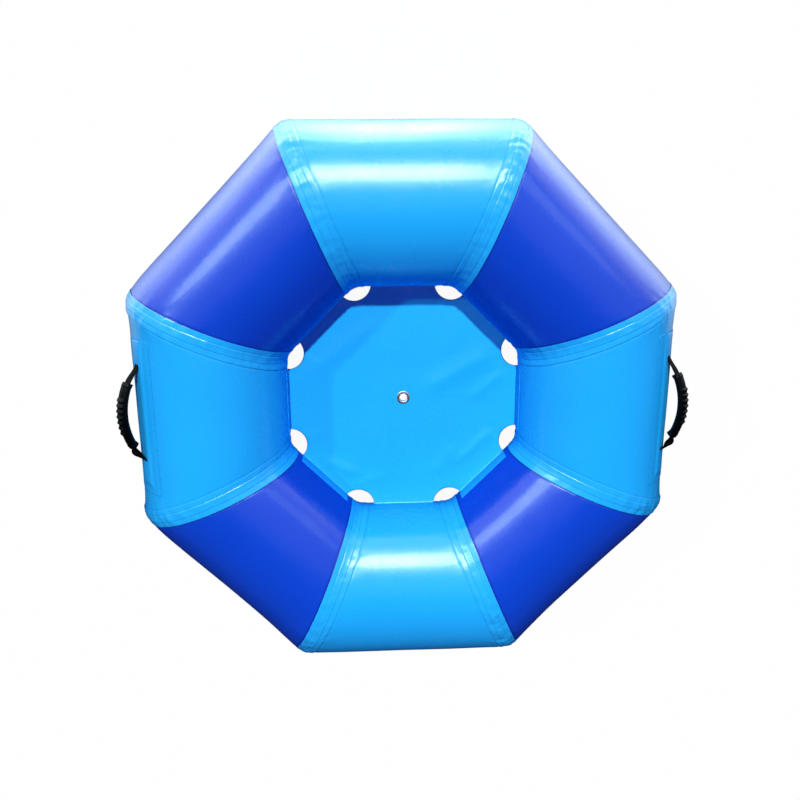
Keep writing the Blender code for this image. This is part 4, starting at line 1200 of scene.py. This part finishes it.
def makeStudioFloor():
    stand = addShape(bpy.ops.mesh.primitive_plane_add, "studio_floor", size=studio["floorSize"])
    material = bpy.data.materials.new("studio floor")
    material.use_nodes = True
    tree = material.node_tree
    tree.nodes.remove(tree.nodes["Principled BSDF"])
    rays = addNode(tree, "LightPath").outputs
    pale = addNode(tree, "Emission", {"Strength": studio["paleFloor"]})
    shaded, grey = (addNode(tree, "BsdfDiffuse", {"Color": (*[studio[name]] * 3, 1)})
                    for name in ("floorGrey", "floorBounce"))
    seen = mixShaders(tree, studio["shadowShare"], pale.outputs[0], shaded.outputs[0])
    # painted reflection: glossy rays see the floor's glow, other rays a dark grey
    lit = mixShaders(tree, rays["Is Glossy Ray"], grey.outputs[0], floorGlow(tree).outputs[0])
    final = mixShaders(tree, rays["Is Camera Ray"], lit, seen)
    tree.links.new(final, tree.nodes["Material Output"].inputs["Surface"])
    stand.data.materials.append(material)


def makeSky():
    world = bpy.data.worlds.new("studio sky")
    bpy.context.scene.world = world
    world.use_nodes = True
    tree = world.node_tree
    rays = addNode(tree, "LightPath").outputs
    place = placeParts(tree, "Generated")
    overhead = smoothRange(tree, place["Y"], studio["zenithEdge"], studio["frontGloss"],
                           studio["zenithGloss"])
    low = smoothRange(tree, place["Z"], studio["horizonTop"], studio["horizonGloss"], 0.0)
    behind = smoothRange(tree, place["Y"], studio["horizonTurn"])
    gloss = addMath(tree, "ADD", overhead, addMath(tree, "MULTIPLY", low, behind))
    mirrored = addMath(tree, "MULTIPLY", gloss, rays["Is Glossy Ray"])
    white = tree.nodes["Background"]
    white.inputs["Color"].default_value = (1, 1, 1, 1)
    tree.links.new(addMath(tree, "MAXIMUM", mirrored, rays["Is Camera Ray"]), white.inputs["Strength"])
    soft = addNode(tree, "Background", {
        "Strength": rays["Is Diffuse Ray"], "Color": (*studio["skyLight"], 1)})
    both = addNode(tree, "AddShader", {0: white.outputs[0], 1: soft.outputs[0]})
    tree.links.new(both.outputs[0], tree.nodes["World Output"].inputs["Surface"])


def directionOf(turn, height):
    return Vector((cos(turn) * cos(height), sin(turn) * cos(height), sin(height)))


def addLamp(light, direction, location=(0, 0, 0)):
    lamp = bpy.data.objects.new(light.name, light)
    lamp.location = location
    lamp.rotation_euler = direction.to_track_quat("Z", "Y").to_euler()
    bpy.context.scene.collection.objects.link(lamp)
    return lamp


def addSun(name, turn, height, strength):
    light = bpy.data.lights.new(name, "SUN")
    light.energy, light.angle = strength, studio["sunSize"]
    addLamp(light, directionOf(turn, height)).visible_glossy = False


def addWindow(number, centre, raised, width, height, brightness, red):
    # mirrored in the cloth only; the sun lamps do the lighting
    light = bpy.data.lights.new(f"window {number}", "AREA")
    light.shape = "RECTANGLE"
    light.size, light.size_y = width, height
    light.energy = brightness * pi * light.size * light.size_y
    light.color = (red, 1, 1)
    direction = directionOf(pi / 2, studio["windowHeight"])
    location = direction * studio["windowDistance"] + Vector((centre, 0, raised))
    addLamp(light, direction, location).visible_diffuse = False


def placeCamera():
    data = bpy.data.cameras.new("camera")
    data.lens, data.sensor_width = cameraPlace["lens"], cameraPlace["sensor"]
    data.clip_start, data.clip_end = cameraPlace["clip"]
    camera = bpy.data.objects.new("camera", data)
    camera.location = cameraPlace["location"]
    camera.rotation_euler = Euler(cameraPlace["rotation"])
    bpy.context.scene.collection.objects.link(camera)
    bpy.context.scene.camera = camera


makeStudioFloor()
makeSky()
for name, sun in studio["suns"].items():
    addSun(name, *sun)
for number, window in enumerate(studio["windows"]):
    addWindow(number, *window)
placeCamera()
bpy.context.scene.view_settings.view_transform = "Standard"
print("studio made")
